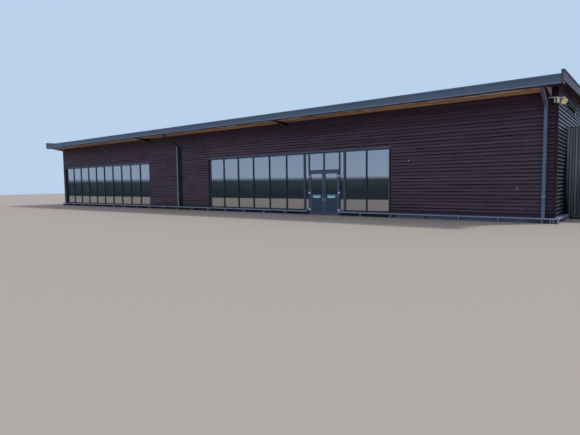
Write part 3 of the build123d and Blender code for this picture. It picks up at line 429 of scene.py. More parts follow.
# Feather-edge cladding on all four walls.
# Tapered softwood boards, each lapping the one below, stained a dark plum brown and nailed to battens over
# dark sheathing board. They come in mixed lengths. A sleeve's cover and a tap's are fixed to them.
def timber(name, dark, light, flow, rough=0.62, relief=0.0012, gloss=0.25, mottle=0.75, weather=None):
    """Sawn timber. flow is the way its grain runs: level along a wall, upright, or lengthwise overhead."""
    made, brush = finish(name, {"Specular IOR Level": gloss, "Coat Roughness": 0.22})
    place = place_of(brush)
    parts = {axis: brush.lay("SeparateXYZ", {}, {0: place}, out=axis) for axis in "XYZ"}
    if flow == "level":
        marks = {0: (parts["X"] + parts["Y"]) * 0.9, 1: 0.0, 2: parts["Z"] * 70}
    elif flow == "upright":
        marks = {0: (parts["X"] + parts["Y"]) * 60, 1: 0.0, 2: parts["Z"] * 1.2}
    else:
        marks = {0: parts["X"] * 0.9, 1: parts["Y"] * 55, 2: parts["Z"] * 30}
    lines = brush.lay("CombineXYZ", {}, marks)
    tone = brush.lay("Attribute", {"attribute_name": "tone"}, {}, out="Fac")
    grain = speckle(brush, lines, 1.0, 5)
    patches = speckle(brush, place, 1.1, 3)
    shade = (grain * 0.75 + tone * mottle + patches * 0.35 - 0.05 - mottle / 2).held().mix(dark, light)
    film = 0.0
    if weather:
        shade, film = weather(brush, parts, patches, shade)
    return paint(made, brush, {"Base Color": shade, "Roughness": rough + grain * 0.25 - 0.08,
                               "Coat Weight": film, "Normal": rises(brush, grain, relief)})


BOARDED_TO_HEAD, COURSES_TO_HEAD = 2.95, 21
COURSE = BOARDED_TO_HEAD / COURSES_TO_HEAD
BASE = span("wall_front_left", "z")[0]
FRONT_HALF_ENDS = (-1.0, 1.0)
# Where the stain fades, the painted shade under the eave, green growth and the darker foot.
SUN_REACHES, EAVE_SHADES, RAIN_REACHES, DARKER_FOOT = (-7.0, 9.0), (3.5, 4.5), (0.6, 4.2), (0.2, 0.5)
# Painted shadows past the pipes, and painted shade beside the yard screen.
LEFT_PIPE_EDGE, LEFT_SHADOW_END, LEFT_SHADOW_TOP = (-3.95, -3.88), (-3.70, -3.58), (3.8, 4.1)
RIGHT_PIPE_EDGE = (16.80, 16.90)
RIGHT_WALL, SCREEN_SHADE_TOP = (10.0, 11.0), (1.6, 3.5)
SCREEN_SHADE_FRONT, SCREEN_SHADE_BACK = (-4.2, -3.2), (-2.9, -2.6)


def weathered_and_shaded_laps(brush, parts, patches, shade):
    """A painted highlight on each board's lower lip, and a dark, dull painted shadow under the lap above.

    The painted lap shadow is wider and blacker on the sides, whose boards keep a glossier film, are painted
    paler and bluer as sheen, and grow green low down. The front is painted in shade under the eave and in
    shadow past each pipe, and the right wall is painted in shade low down beside the yard screen. The foot
    of the front and back walls is darker."""
    level = (parts["Z"] - BASE) * (1 / COURSE)
    rise = level.fraction()
    facing = brush.lay("NewGeometry", {}, {}, out="Normal")
    sideways = brush.lay("SeparateXYZ", {}, {0: facing}, out="X").size().ramp(0.5, 0.8)
    in_front = (1 - sideways) * (1 - parts["Y"].ramp(*FRONT_HALF_ENDS))
    # Painted shade on the front under the eave.
    shade_under_eave = in_front * parts["Z"].ramp(*EAVE_SHADES)
    faded = (1 - parts["X"].ramp(*SUN_REACHES)) * 0.34 * patches.ramp(0.2, 0.7)
    along = (parts["X"] + parts["Y"]) * 0.7
    board = brush.lay("CombineXYZ", {}, {0: along, 1: 0.0, 2: (level - rise) * 3.7})
    uneven = (speckle(brush, board, 1.0, 2).ramp(0.36, 0.6) * 0.55 + 0.45 + sideways).held()
    # Painted highlight along each board's lower lip, weaker in the painted shade under the eave.
    lip = (1 - rise.ramp(0.05, 0.5)) * (0.42 - shade_under_eave * 0.32) * uneven
    # Painted sheen lightens every side face, with green growth added in patches low down.
    green = (sideways * ((1 - parts["Z"].ramp(*RAIN_REACHES)) * patches + 0.45)).held()
    # Painted shadow on the boards just past the left pipe, below its neck.
    left_pipe_shadow = parts["X"].ramp(*LEFT_PIPE_EDGE) * (1 - parts["X"].ramp(*LEFT_SHADOW_END))
    left_pipe_shadow = left_pipe_shadow * (1 - parts["Z"].ramp(*LEFT_SHADOW_TOP))
    pipe_shadows = in_front * (parts["X"].ramp(*RIGHT_PIPE_EDGE) * 0.45 + left_pipe_shadow * 0.75)
    # Painted shadows past the pipes, and a darker foot on the front and back walls.
    darkening = (pipe_shadows + (1 - sideways) * (1 - parts["Z"].ramp(*DARKER_FOOT)) * 0.5).held()
    # Painted shade low on the right wall beside the yard screen.
    shade_by_screen = sideways * parts["X"].ramp(*RIGHT_WALL) * (1 - parts["Z"].ramp(*SCREEN_SHADE_TOP))
    shade_by_screen = shade_by_screen * parts["Y"].ramp(*SCREEN_SHADE_FRONT)
    shade_by_screen = shade_by_screen * (1 - parts["Y"].ramp(*SCREEN_SHADE_BACK))
    shade = faded.mix(shade, colour(98, 96, 102))
    shade = lip.mix(shade, colour(106, 96, 114))
    shade = green.mix(shade, colour(84, 89, 95))
    shade = (shade_under_eave * 0.45).mix(shade, colour(44, 28, 38))
    shade = darkening.mix(shade, colour(20, 13, 26))
    # Painted shadow under each board's lap, wider and blacker on the sides, weaker under the eave.
    lap_shadow = (rise + sideways * 0.31).ramp(0.58, 0.84) * (1 - shade_under_eave * 0.6) * uneven
    shade = lap_shadow.mix(shade, sideways.mix(colour(30, 20, 30), colour(4, 4, 8)))
    shade = shade_by_screen.mix(shade, colour(4, 5, 8))
    return shade, ((1 - lap_shadow) * (1 - shade_by_screen) * (sideways * 0.42 + patches * 0.15)).held()


sheathing = timber("sheathing", colour(30, 26, 30), colour(48, 42, 46), "level")
dress(sheathing, "wall_front_left", "wall_front_middle", "wall_front_right", "wall_front_head",
      "wall_back", "wall_left", "wall_right")
# Its finish paints lap shadows, lit lips, side sheen, and shade under the eave, past pipes and by the
# screen.
board_stain = timber("board_stain", colour(58, 46, 61), colour(94, 81, 99), "level", rough=0.7, gloss=0.1,
                     mottle=0.38, weather=weathered_and_shaded_laps)

LAP = 0.025
BOARD = COURSE + LAP
BUTT_OUT, BUTT_IN = 0.0268, 0.0090
THIN_OUT, THIN_IN = 0.0062, 0.0003
END_GAP = 0.0025
SHORTEST, LONGEST = 0.8, 4.2
OFFCUT = 0.6
SLIVER, SPLINTER, KNIFE_EDGE = 0.012, 0.004, 0.001
LAST_COURSE, LAST_BOARD, NAILED = 0.01, 0.02, 0.04
BATTEN_PITCH, FIRST_BATTEN = 1.2, 0.05
NAIL_RISE, NAIL_CLEAR = 0.036, 0.03
NAIL_HEAD, NAIL_SUNK = (0.0042, 0.0016), 0.0004
chance = random.Random(7)


def board_section(foot, low, high):
    """Outline of a board cut between two levels, as (distance off the wall, level)."""
    def at(level, butt, thin):
        return butt + (thin - butt) * (level - foot) / BOARD
    return [(at(low, BUTT_OUT, THIN_OUT), low), (at(high, BUTT_OUT, THIN_OUT), high),
            (at(high, BUTT_IN, THIN_IN), high), (at(low, BUTT_IN, THIN_IN), low)]


def lay_board(stock, wall, foot, start, end, low, high_start, high_end, tone):
    """One board on a wall, which is a function from (along, out, level) to a point."""
    near = [wall(start, out, level) for out, level in board_section(foot, low, high_start)]
    far = [wall(end, out, level) for out, level in board_section(foot, low, high_end)]
    stock.solid(near, far, tone)


def course_strips(foot, middle, openings):
    """The heights of a course that are boarded at a place along it, past the openings."""
    head = foot + BOARD
    strips = [(foot, head)]
    for left, right, low, high in openings:
        if left < middle < right and low < head and high > foot:
            strips = [(foot, low)] if low > foot + SLIVER else []
            strips += [(high, head)] if high < head - LAP - SLIVER else []
    return strips


def lay_length(stock, wall, foot, strip, start, stop, edge, tone):
    """A length of board in a strip of its course, cut where it meets the wall's top edge."""
    left, right, top = edge
    low, high = strip
    breaks = [start + END_GAP / 2, stop - END_GAP / 2]
    if top(left) != top(right):
        slope = (top(right) - top(left)) / (right - left)
        for level in strip:
            meets = left + (level - top(left)) / slope
            if breaks[0] < meets < breaks[-1]:
                breaks.insert(-1, meets)
        breaks.sort()
    for a, b in zip(breaks, breaks[1:]):
        if top((a + b) / 2) > low + KNIFE_EDGE and b - a > SPLINTER:
            high_a, high_b = [max(low + KNIFE_EDGE, min(high, top(end))) for end in (a, b)]
            lay_board(stock, wall, foot, a, b, low, high_a, high_b, tone)


def drive_nails(nails, wall, foot, left, start, end):
    """One nail at every batten between two ends. The battens are counted from the wall's left."""
    batten = math.ceil((start - left) / BATTEN_PITCH)
    level = foot + NAIL_RISE
    out = board_section(foot, level, level + KNIFE_EDGE)[0][0]
    while left + FIRST_BATTEN + batten * BATTEN_PITCH < end - NAIL_CLEAR:
        along = left + FIRST_BATTEN + batten * BATTEN_PITCH
        if along > start + NAIL_CLEAR:
            facing = Vector(wall(along, out + 1, level)) - Vector(wall(along, out, level))
            nails.stud(wall(along, out - NAIL_SUNK, level), facing, *NAIL_HEAD, tone=chance.random())
        batten += 1


def clad(name, wall, left, right, top, openings):
    """Boards a wall from the ledge to a straight top edge, round openings (left, right, low, high)."""
    stock = Stock()
    nails = Stock()
    course = 0
    while BASE + course * COURSE < max(top(left), top(right)) - LAST_COURSE:
        foot = BASE + course * COURSE
        crossed = [sides for *sides, low, high in openings if low < foot + BOARD and high > foot]
        ends = sorted({left, right, *[x for sides in crossed for x in sides if left < x < right]})
        for start, end in zip(ends, ends[1:]):
            strips = course_strips(foot, (start + end) / 2, openings)
            x = start
            length = chance.uniform(SHORTEST, LONGEST)
            while x < end - LAST_BOARD:
                stop = end if end - x - length < OFFCUT else x + length
                tone = chance.random()
                for strip in strips:
                    lay_length(stock, wall, foot, strip, x, stop, (left, right, top), tone)
                x = stop
                length = LONGEST
            if strips and strips[0][0] == foot and foot + NAILED < min(top(start), top(end)):
                drive_nails(nails, wall, foot, left, start, end)
        course += 1
    stock.piece(name + "_boards", board_stain, edge=0.0012)
    nails.piece(name + "_nails", nail_steel)


nail_steel = sheet_metal("nail_steel", colour(70, 68, 74), 0.45)
sleeve_coat = sheet_metal("sleeve_coat", colour(214, 214, 218), 0.5, dust=0.1)
tap_coat = sheet_metal("tap_coat", colour(146, 142, 156), 0.6, dust=0.2)
COVER_FOOT = 0.012
SLEEVE_AT, SLEEVE_COVER = (11.606, 2.503), ((0.028, 0.024, 20), (0.017, 0.006, 20))
TAP_AT, TAP_COVER = (15.91, 1.28), ((0.036, 0.022, 20), (0.010, 0.006, 12))


def wall_cover(name, material, at, rounds):
    """A small cover on the front boards: rounds of (radius, height, sides), each on the one before."""
    cover = Stock()
    x, z = at
    y = FRONT - COVER_FOOT
    for radius, height, sides in rounds:
        cover.stud((x, y, z), (0, -1, 0), radius, height, sides)
        y -= height
    cover.piece(name, material)


wall_cover("wall_sleeve_cover", sleeve_coat, SLEEVE_AT, SLEEVE_COVER)
wall_cover("wall_tap_cover", tap_coat, TAP_AT, TAP_COVER)

SLOPE = math.tan(math.radians(2.0))
DECK_AT_FRONT = 4.89


def deck_under(y):
    """Level of the roof deck's underside at a depth y."""
    return DECK_AT_FRONT + (y - FRONT) * SLOPE


CORNER_COVER, CORNER_GAP = 0.062, 0.002
JAMB = 0.062
OVER_GLAZING = span("head_flashings", "z")[1]
SOFFIT_LINE, NO_LIMIT = 4.738, 6
FIRST_BEAM, BAY = 0.25, 12.0
BEAM_LINES = [RIGHT - FIRST_BEAM - bay * BAY for bay in range(4)]
BEAM_SLOT, BEAM_FOOT = 0.096, 4.53
VENT_GAP = 0.004
glazing = [(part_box(first)[0].x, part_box(last)[1].x)
           for first, last in (("window_1_frame", "window_1_frame"),
                               ("window_2_left_frame", "window_2_right_frame"))]
front_openings = [(left - JAMB, right + JAMB, 0, OVER_GLAZING) for left, right in glazing]
front_openings += [(x - BEAM_SLOT / 2, x + BEAM_SLOT / 2, BEAM_FOOT, NO_LIMIT) for x in BEAM_LINES]
boards_left, boards_right = LEFT + CORNER_COVER + CORNER_GAP, RIGHT - CORNER_COVER - CORNER_GAP
boards_front, boards_back = FRONT + CORNER_COVER + CORNER_GAP, BACK - CORNER_COVER - CORNER_GAP
clad("front", lambda along, out, level: (along, FRONT - out, level), boards_left, boards_right,
     lambda x: SOFFIT_LINE, front_openings)
clad("back", lambda along, out, level: (along, BACK + out, level), boards_left, boards_right,
     lambda x: deck_under(BACK) - CORNER_GAP, [])
vent_low, vent_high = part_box("side_vent")
clad("right", lambda along, out, level: (RIGHT + out, along, level), boards_front, boards_back,
     lambda y: deck_under(y) - CORNER_GAP,
     [(vent_low.y - VENT_GAP, vent_high.y + VENT_GAP, vent_low.z - VENT_GAP, vent_high.z + VENT_GAP)])
clad("left", lambda along, out, level: (LEFT - out, along, level), boards_front, boards_back,
     lambda y: deck_under(y) - CORNER_GAP, [])


# Corner and jamb boards.
# Planed boards of the same timber, set upright at each corner and beside each run of glazing to cover the
# cladding's ends, and screwed through the face. The jamb boards have the darkest stain, with painted shade
# beside the glazing.
trim_stain = timber("trim_stain", colour(36, 22, 34), colour(62, 44, 60), "upright", rough=0.6)
dress(trim_stain, "corner_boards")
# Its near-black colour is partly stain and partly painted shade beside the glazing.
jamb_stain_and_shade = timber("jamb_stain_and_shade", colour(16, 9, 16), colour(38, 26, 36), "upright", rough=0.7)
JAMB_REVEAL, JAMB_PROUD, JAMB_FOOT, JAMB_TOP = 0.014, 0.027, BASE + 0.001, 3.109
jambs = Stock()
for left, right in glazing:
    for inner, outward in ((left, -1), (right, 1)):
        a, b = sorted((inner + outward * JAMB_REVEAL, inner + outward * (JAMB - CLEAR)))
        jambs.bar(a, b, FRONT - JAMB_PROUD, FRONT, JAMB_FOOT, JAMB_TOP, chance.random())
jambs.piece("jamb_boards", jamb_stain_and_shade, edge=0.002)
SCREW_IN, SCREW_FACE = 0.024, 0.028
FIRST_SCREW, SCREW_PITCH, CORNER_SCREWS = 0.45, 0.6, 8
SCREW_HEAD = (0.006, 0.0015, 8)
screws = Stock()
for x, y, out in ((RIGHT - SCREW_IN, FRONT - SCREW_FACE, (0, -1, 0)),
                  (LEFT + SCREW_IN, FRONT - SCREW_FACE, (0, -1, 0)),
                  (RIGHT + SCREW_FACE, FRONT + SCREW_IN, (1, 0, 0)),
                  (LEFT - SCREW_FACE, FRONT + SCREW_IN, (-1, 0, 0)),
                  (RIGHT - SCREW_IN, BACK + SCREW_FACE, (0, 1, 0)),
                  (LEFT + SCREW_IN, BACK + SCREW_FACE, (0, 1, 0)),
                  (RIGHT + SCREW_FACE, BACK - SCREW_IN, (1, 0, 0)),
                  (LEFT - SCREW_FACE, BACK - SCREW_IN, (-1, 0, 0))):
    for step in range(CORNER_SCREWS):
        screws.stud((x, y, FIRST_SCREW + step * SCREW_PITCH), out, *SCREW_HEAD)
screws.piece("corner_board_screws", nail_steel)


# Shopfront frames.
# Aluminium box sections, powder coated navy, held to the wall with hidden lugs. Cover caps clip over the
# mullions outside, black rubber gaskets seal the glass, and a folded drip closes the head.
frame_coat = sheet_metal("frame_coat", colour(58, 76, 98), 0.34, ripple=0.0006)
navy_coat = sheet_metal("navy_coat", colour(20, 30, 42), 0.3, ripple=0.0006)
dress(frame_coat, "window_1_frame", "window_2_left_frame", "window_2_right_frame", "entrance_left_frame",
      "entrance_right_frame", "fanlight_frame")
# The drip's paler coat is a painted highlight along the head.
drip_highlight_coat = sheet_metal("drip_highlight_coat", colour(100, 130, 158), 0.36, ripple=0.0008)
dress(drip_highlight_coat, "head_flashings")

LIGHT_PITCH = 1.18
FACE = 0.06
SILL, HEAD = span("window_1_frame", "z")
FRAME_FRONT, GLASS_FRONT = span("window_1_frame", "y")[0], span("window_1_glass", "y")[0]
CAP_PROUD, CAP_INSET = 0.008, 0.004
UPPER_CAP, LOWER_CAP, SILL_CAP = (0.029, 0.002), (0.057, 0.031), (0.004, 0.055)
GASKET, GASKET_PROUD = 0.007, 0.006
DOORWAY_LEFT, DOORWAY_RIGHT = span("fanlight_frame", "x")
DOORWAY_MIDDLE = (DOORWAY_LEFT + DOORWAY_RIGHT) / 2
TRANSOM = 0.08
TRANSOM_FOOT = span("fanlight_frame", "z")[0]
TRANSOM_TOP = TRANSOM_FOOT + TRANSOM
SIDELIGHTS_LEFT, SIDELIGHTS_RIGHT = span("entrance_glass", "x")
ENTRANCE_LIGHTS = ((SIDELIGHTS_LEFT, DOORWAY_LEFT - FACE, SILL + FACE),
                   (DOORWAY_RIGHT + FACE, SIDELIGHTS_RIGHT, SILL + FACE),
                   (DOORWAY_LEFT, DOORWAY_MIDDLE - FACE / 2, TRANSOM_TOP),
                   (DOORWAY_MIDDLE + FACE / 2, DOORWAY_RIGHT, TRANSOM_TOP))
runs = ((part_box("window_1_frame"), 10), (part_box("window_2_left_frame"), 6),
        (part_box("window_2_right_frame"), 2))


def ring(stock, x0, x1, z0, z1, y0, y1, width):
    """Four mitred lengths round an opening, inside it."""
    corners = [(x0, z0), (x1, z0), (x1, z1), (x0, z1)]
    left, right, foot, head = x0 + width, x1 - width, z0 + width, z1 - width
    inner = [(left, foot), (right, foot), (right, head), (left, head)]
    for i in range(4):
        sides = []
        for j in (i, (i + 1) % 4):
            (ax, az), (bx, bz) = corners[j], inner[j]
            sides.append([(ax, y0, az), (bx, y0, bz), (bx, y1, bz), (ax, y1, az)])
        stock.solid(*sides)


def upright_cap(stock, a, b):
    """A cap over a mullion, between two places along the run."""
    stock.bar(a, b, FRAME_FRONT - CAP_PROUD, FRAME_FRONT, SILL + FACE - CAP_INSET, HEAD - FACE + CAP_INSET)


def level_cap(stock, low, high, foot, top):
    """A cap along a whole run, between two levels."""
    stock.bar(low.x + CAP_INSET, high.x - CAP_INSET, FRAME_FRONT - CAP_PROUD, FRAME_FRONT, foot, top)


def seal(x0, x1, z0):
    """A gasket round a light that ends under the head."""
    ring(gaskets, x0, x1, z0, HEAD - FACE, GLASS_FRONT - GASKET_PROUD, GLASS_FRONT, GASKET)


caps = Stock()
highlight_caps = Stock()
gaskets = Stock()
for (low, high), count in runs:
    for i in range(1, count):
        x = low.x + i * LIGHT_PITCH
        upright_cap(caps, x - FACE / 2 + CAP_INSET, x + FACE / 2 - CAP_INSET)
    level_cap(caps, low, high, *[HEAD - drop for drop in UPPER_CAP])
    level_cap(highlight_caps, low, high, *[HEAD - drop for drop in LOWER_CAP])
    level_cap(caps, low, high, *[SILL + rise for rise in SILL_CAP])
    for i in range(count):
        x0 = low.x + i * LIGHT_PITCH + (FACE if i == 0 else FACE / 2)
        x1 = low.x + (i + 1) * LIGHT_PITCH - (FACE if i == count - 1 else FACE / 2)
        seal(x0, x1, SILL + FACE)
for x0, x1, z0 in ENTRANCE_LIGHTS:
    seal(x0, x1, z0)
for (left, right), stock in zip(glazing, (caps, highlight_caps)):
    upright_cap(stock, left + CAP_INSET, left + FACE - CAP_INSET)
    upright_cap(stock, right - FACE + CAP_INSET, right - CAP_INSET)
REBATE_PROUD, POST_PROUD, TRANSOM_PROUD = 0.0015, 0.004, 0.006
REBATE_STRIP, POST_STRIP = (0.009, 0.040), (0.042, 0.058)
TRANSOM_CAP, TRANSOM_EDGE = (0.046, 0.076), (0.007, 0.043)
for post, outward in ((DOORWAY_LEFT, -1), (DOORWAY_RIGHT, 1)):
    a, b = sorted(post + outward * reach for reach in REBATE_STRIP)
    caps.bar(a, b, FRAME_FRONT - REBATE_PROUD, FRAME_FRONT, SILL, HEAD - FACE)
    a, b = sorted(post + outward * reach for reach in POST_STRIP)
    highlight_caps.bar(a, b, FRAME_FRONT - POST_PROUD, FRAME_FRONT, SILL + FACE, HEAD - FACE)
for stock, (foot, top) in ((caps, TRANSOM_CAP), (highlight_caps, TRANSOM_EDGE)):
    stock.bar(DOORWAY_LEFT + CAP_INSET, DOORWAY_RIGHT - CAP_INSET, FRAME_FRONT - TRANSOM_PROUD, FRAME_FRONT,
              TRANSOM_FOOT + foot, TRANSOM_FOOT + top)
caps.piece("mullion_caps", navy_coat, edge=0.0025)
# Paler caps along the head, the long run's jambs, the door posts and the transom: painted edge highlights.
highlight_coat = sheet_metal("highlight_coat", colour(84, 104, 130), 0.32, ripple=0.0006)
highlight_caps.piece("highlight_caps", highlight_coat, edge=0.0025)
rubber_made, rubber_brush = finish("gasket_rubber", {"Specular IOR Level": 0.3})
rubber_clouds = speckle(rubber_brush, place_of(rubber_brush), 40)
gasket_rubber = paint(rubber_made, rubber_brush, {
    "Base Color": rubber_clouds.mix(colour(12, 12, 14), colour(30, 30, 33)),
    "Roughness": 0.6 + rubber_clouds * 0.3, "Normal": rises(rubber_brush, rubber_clouds, 0.0004)})
gaskets.piece("glass_gaskets", gasket_rubber)


# Glass.
# Sealed double units with a solar coating that mirrors the sky, set in rubber gaskets in the middle of
# each frame, and held there by the frame's beads.
def coated_glass():
    """Faintly tinted glass under a mirroring coat, not quite flat."""
    made, brush = finish("coated_glass", {"Transmission Weight": 1.0, "IOR": 1.5, "Coat IOR": 3.7,
                                          "Coat Roughness": 0.0, "Coat Weight": 1.0})
    place = place_of(brush)
    film = speckle(brush, place, 1.5)
    fine = speckle(brush, place, 35, 3)
    return paint(made, brush, {"Base Color": film.mix(colour(96, 108, 112), colour(112, 124, 126)),
                               "Roughness": (fine * 0.02).held(),
                               "Normal": rises(brush, speckle(brush, place, 0.5, 1), 0.0002, 0.2)})


pane_glass = coated_glass()
dress(pane_glass, "window_1_glass", "window_2_left_glass", "window_2_right_glass", "entrance_glass",
      "left_leaf_glass", "right_leaf_glass")


# Entrance doors.
# Two framed leaves of the same aluminium, glazed over a solid kick panel, on three stainless hinges each,
# with a lock, a pull handle and a plain two-colour push plate fixed on at waist height.
leaf_coat = sheet_metal("leaf_coat", colour(66, 90, 118), 0.36, ripple=0.0006)
kick_coat = sheet_metal("kick_coat", colour(46, 70, 92), 0.4, ripple=0.0006)
dress(leaf_coat, "left_leaf_frame", "right_leaf_frame")


def brushed_steel(name, shade, metallic=1.0):
    """Stainless steel with fine upright brushing, less mirror-like where it is bead-blasted."""
    made, brush = finish(name, {"Metallic": metallic})
    place = place_of(brush)
    lines = speckle(brush, brush.lay("Mapping", {}, {"Vector": place, "Scale": (900, 900, 12)}), 1.0, 3)
    clouds = speckle(brush, place, 9)
    return paint(made, brush, {"Base Color": clouds.mix([c * 0.82 for c in shade[:3]] + [1], shade),
                               "Roughness": 0.28 + lines * 0.2, "Normal": rises(brush, lines, 0.0002)})


hinge_steel = brushed_steel("hinge_steel", colour(196, 200, 206))
dress(hinge_steel, "entrance_threshold")
blasted_steel = brushed_steel("blasted_steel", colour(240, 243, 247), 0.45)
dress(blasted_steel, "post_hinges", "left_leaf_hinges", "right_leaf_hinges")
pull_steel = brushed_steel("pull_steel", colour(104, 114, 126))
dress(pull_steel, "left_leaf_pull", "right_leaf_pull")


def enamel(name, dark, light):
    """Smooth stoved enamel with faint scuffs, for the push plates and the lamp."""
    made, brush = finish(name, {"Specular IOR Level": 0.4})
    scuffs = speckle(brush, place_of(brush), 30)
    return paint(made, brush, {"Base Color": scuffs.mix(dark, light), "Roughness": 0.35 + scuffs * 0.25,
                               "Normal": rises(brush, scuffs, 0.0003)})


plate_teal = enamel("plate_teal", colour(36, 186, 180), colour(64, 216, 208))
plate_white = enamel("plate_white", colour(204, 226, 250), colour(222, 242, 255))

PLATE_BOTTOM, PLATE_MIDDLE, PLATE_TOP = 0.852, 0.922, 0.990
PLATE_REACH, PLATE_PROUD = 0.222, 0.008
PLATE_GAP = 0.0005
STILE, PANEL_FOOT, PANEL_TOP = 0.1, 0.14, 0.985
BEAD, BEAD_PROUD, PANEL_PROUD = 0.018, 0.004, 0.0015
INSIDE_BEAD = BEAD + 0.001
PANEL_SCREWS, PANEL_SCREW_IN = (0.18, 0.45, 0.70, 0.945), 0.04
LOCK_IN, LOCK_HALF, LOCK_PROUD = 0.05, 0.016, 0.004
LOCK_FOOT, LOCK_TOP, KEYHOLE, LOCK_SCREW_IN = 0.70, 0.82, 0.775, 0.012
PANEL_SCREW_HEAD, LOCK_SCREW_HEAD = (0.005, 0.0015, 10), (0.003, 0.001, 10)
LOCK_CYLINDER = (0.0095, 0.006, 20)
LEAF_GASKET_PROUD = 0.005
for side, inward in (("left", -1), ("right", 1)):
    leaf_low, leaf_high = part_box(side + "_leaf_frame")
    middle = (leaf_low.x + leaf_high.x) / 2
    face = leaf_low.y
    panel = Stock()
    ring(panel, leaf_low.x + STILE, leaf_high.x - STILE, PANEL_FOOT, PANEL_TOP, face - BEAD_PROUD, face,
         BEAD)
    panel.piece(side + "_kick_panel_bead", leaf_coat, side + "_leaf", edge=0.001)
    kick = Stock()
    kick.bar(leaf_low.x + STILE + INSIDE_BEAD, leaf_high.x - STILE - INSIDE_BEAD, face - PANEL_PROUD, face,
             PANEL_FOOT + INSIDE_BEAD, PANEL_TOP - INSIDE_BEAD)
    for x in (leaf_low.x + STILE + PANEL_SCREW_IN, leaf_high.x - STILE - PANEL_SCREW_IN):
        for z in PANEL_SCREWS:
            kick.stud((x, face - PANEL_PROUD, z), (0, -1, 0), *PANEL_SCREW_HEAD)
    kick.piece(side + "_kick_panel_face", kick_coat, side + "_leaf")
    a, b = middle - PLATE_REACH, middle + PLATE_REACH
    upper = Stock()
    upper.bar(a, b, face - PLATE_PROUD, face - PLATE_GAP, PLATE_MIDDLE + PLATE_GAP, PLATE_TOP)
    upper.piece(side + "_plate_upper", plate_teal, side + "_leaf", edge=0.002)
    lower = Stock()
    lower.bar(a, b, face - PLATE_PROUD, face - PLATE_GAP, PLATE_BOTTOM, PLATE_MIDDLE - PLATE_GAP)
    lower.piece(side + "_plate_lower", plate_white, side + "_leaf", edge=0.002)
    lock_x = (leaf_high.x if side == "left" else leaf_low.x) + inward * LOCK_IN
    lock = Stock()
    lock.bar(lock_x - LOCK_HALF, lock_x + LOCK_HALF, face - LOCK_PROUD, face, LOCK_FOOT, LOCK_TOP)
    lock.stud((lock_x, face - LOCK_PROUD, KEYHOLE), (0, -1, 0), *LOCK_CYLINDER)
    for level in (LOCK_FOOT + LOCK_SCREW_IN, LOCK_TOP - LOCK_SCREW_IN):
        lock.stud((lock_x, face - LOCK_PROUD, level), (0, -1, 0), *LOCK_SCREW_HEAD)
    lock.piece(side + "_lock", hinge_steel, side + "_leaf", edge=0.001)
    leaf_gasket = Stock()
    pane_low, pane_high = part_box(side + "_leaf_glass")
    ring(leaf_gasket, pane_low.x, pane_high.x, pane_low.z, pane_high.z, pane_low.y - LEAF_GASKET_PROUD,
         pane_low.y, GASKET)
    leaf_gasket.piece(side + "_leaf_gasket", gasket_rubber, side + "_leaf")


# Roof beams.
# Glued laminated spruce, one across the building at each grid line, set in pockets of the walls. Each end
# is tapered where it carries the eave.
OUTER_FLANK = (BEAM_LINES[0] + 0.015, BEAM_LINES[0] + 0.035)
LAST_BEAM = (BEAM_LINES[0] - 0.115, BEAM_LINES[0] - 0.095)


def lit_and_shaded_flanks(brush, parts, patches, shade):
    """Flanks painted light at the roof's open ends and in shade elsewhere, tan underneath.

    The beam at the right end is painted in shade underneath too."""
    facing = brush.lay("NewGeometry", {}, {}, out="Normal")
    flank = brush.lay("SeparateXYZ", {}, {0: facing}, out="X").size().ramp(0.5, 0.8)
    end_bay = parts["X"].size().ramp(*OUTER_FLANK)
    under = brush.lay("SeparateXYZ", {}, {0: facing}, out="Z").size().ramp(0.5, 0.8)
    under = under * parts["X"].ramp(*LAST_BEAM)
    dark = (patches * 0.5).mix(colour(30, 20, 20), colour(70, 52, 46))
    lit_flank = (patches * 0.6).mix(colour(176, 168, 172), colour(150, 134, 130))
    shade = (under * 0.85).mix(shade, colour(56, 38, 46))
    shade = (flank * (1 - end_bay)).mix(shade, dark)
    return (flank * end_bay * 0.85).mix(shade, lit_flank), 0.0


# Its finish paints light on the flanks at the roof's open ends and shade on the other flanks.
beam_timber = timber("beam_timber", colour(98, 72, 60), colour(156, 120, 96), "lengthwise", rough=0.6,
                     weather=lit_and_shaded_flanks)
dress(beam_timber, "roof_beams")


# Roof deck.
# Insulated deck under long coated steel sheets, with folded standing seams that run down the slope.
roof_coat = sheet_metal("roof_coat", colour(96, 106, 120), 0.5, dust=0.5, ripple=0.003)
dress(roof_coat, "roof_deck")
SEAM_PITCH = 0.6
SEAM_FOOT, SEAM_LEFT, SEAM_RIGHT = 0.011, 0.004, 0.006
SEAM_BEND, SEAM_LAP, SEAM_TOP = 0.008, 0.026, 0.028
OUTERMOST_SEAM = 0.02
DECK = 0.15
deck_low, deck_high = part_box("roof_deck")


def seam_section(x, y):
    """Outline of a folded seam where it crosses a depth y."""
    z = deck_under(y) + DECK
    return [(x - SEAM_FOOT, y, z), (x - SEAM_LEFT, y, z + SEAM_BEND), (x - SEAM_LEFT, y, z + SEAM_LAP),
            (x + SEAM_RIGHT, y, z + SEAM_TOP), (x + SEAM_RIGHT, y, z + SEAM_BEND), (x + SEAM_FOOT, y, z)]


seams = Stock()
count = int((deck_high.x - deck_low.x) // SEAM_PITCH)
first = (deck_low.x + deck_high.x - count * SEAM_PITCH) / 2
for i in range(count + 1):
    x = min(max(first + i * SEAM_PITCH, deck_low.x + OUTERMOST_SEAM), deck_high.x - OUTERMOST_SEAM)
    seams.solid(seam_section(x, deck_low.y + CLEAR), seam_section(x, deck_high.y - CLEAR))
seams.piece("standing_seams", roof_coat)


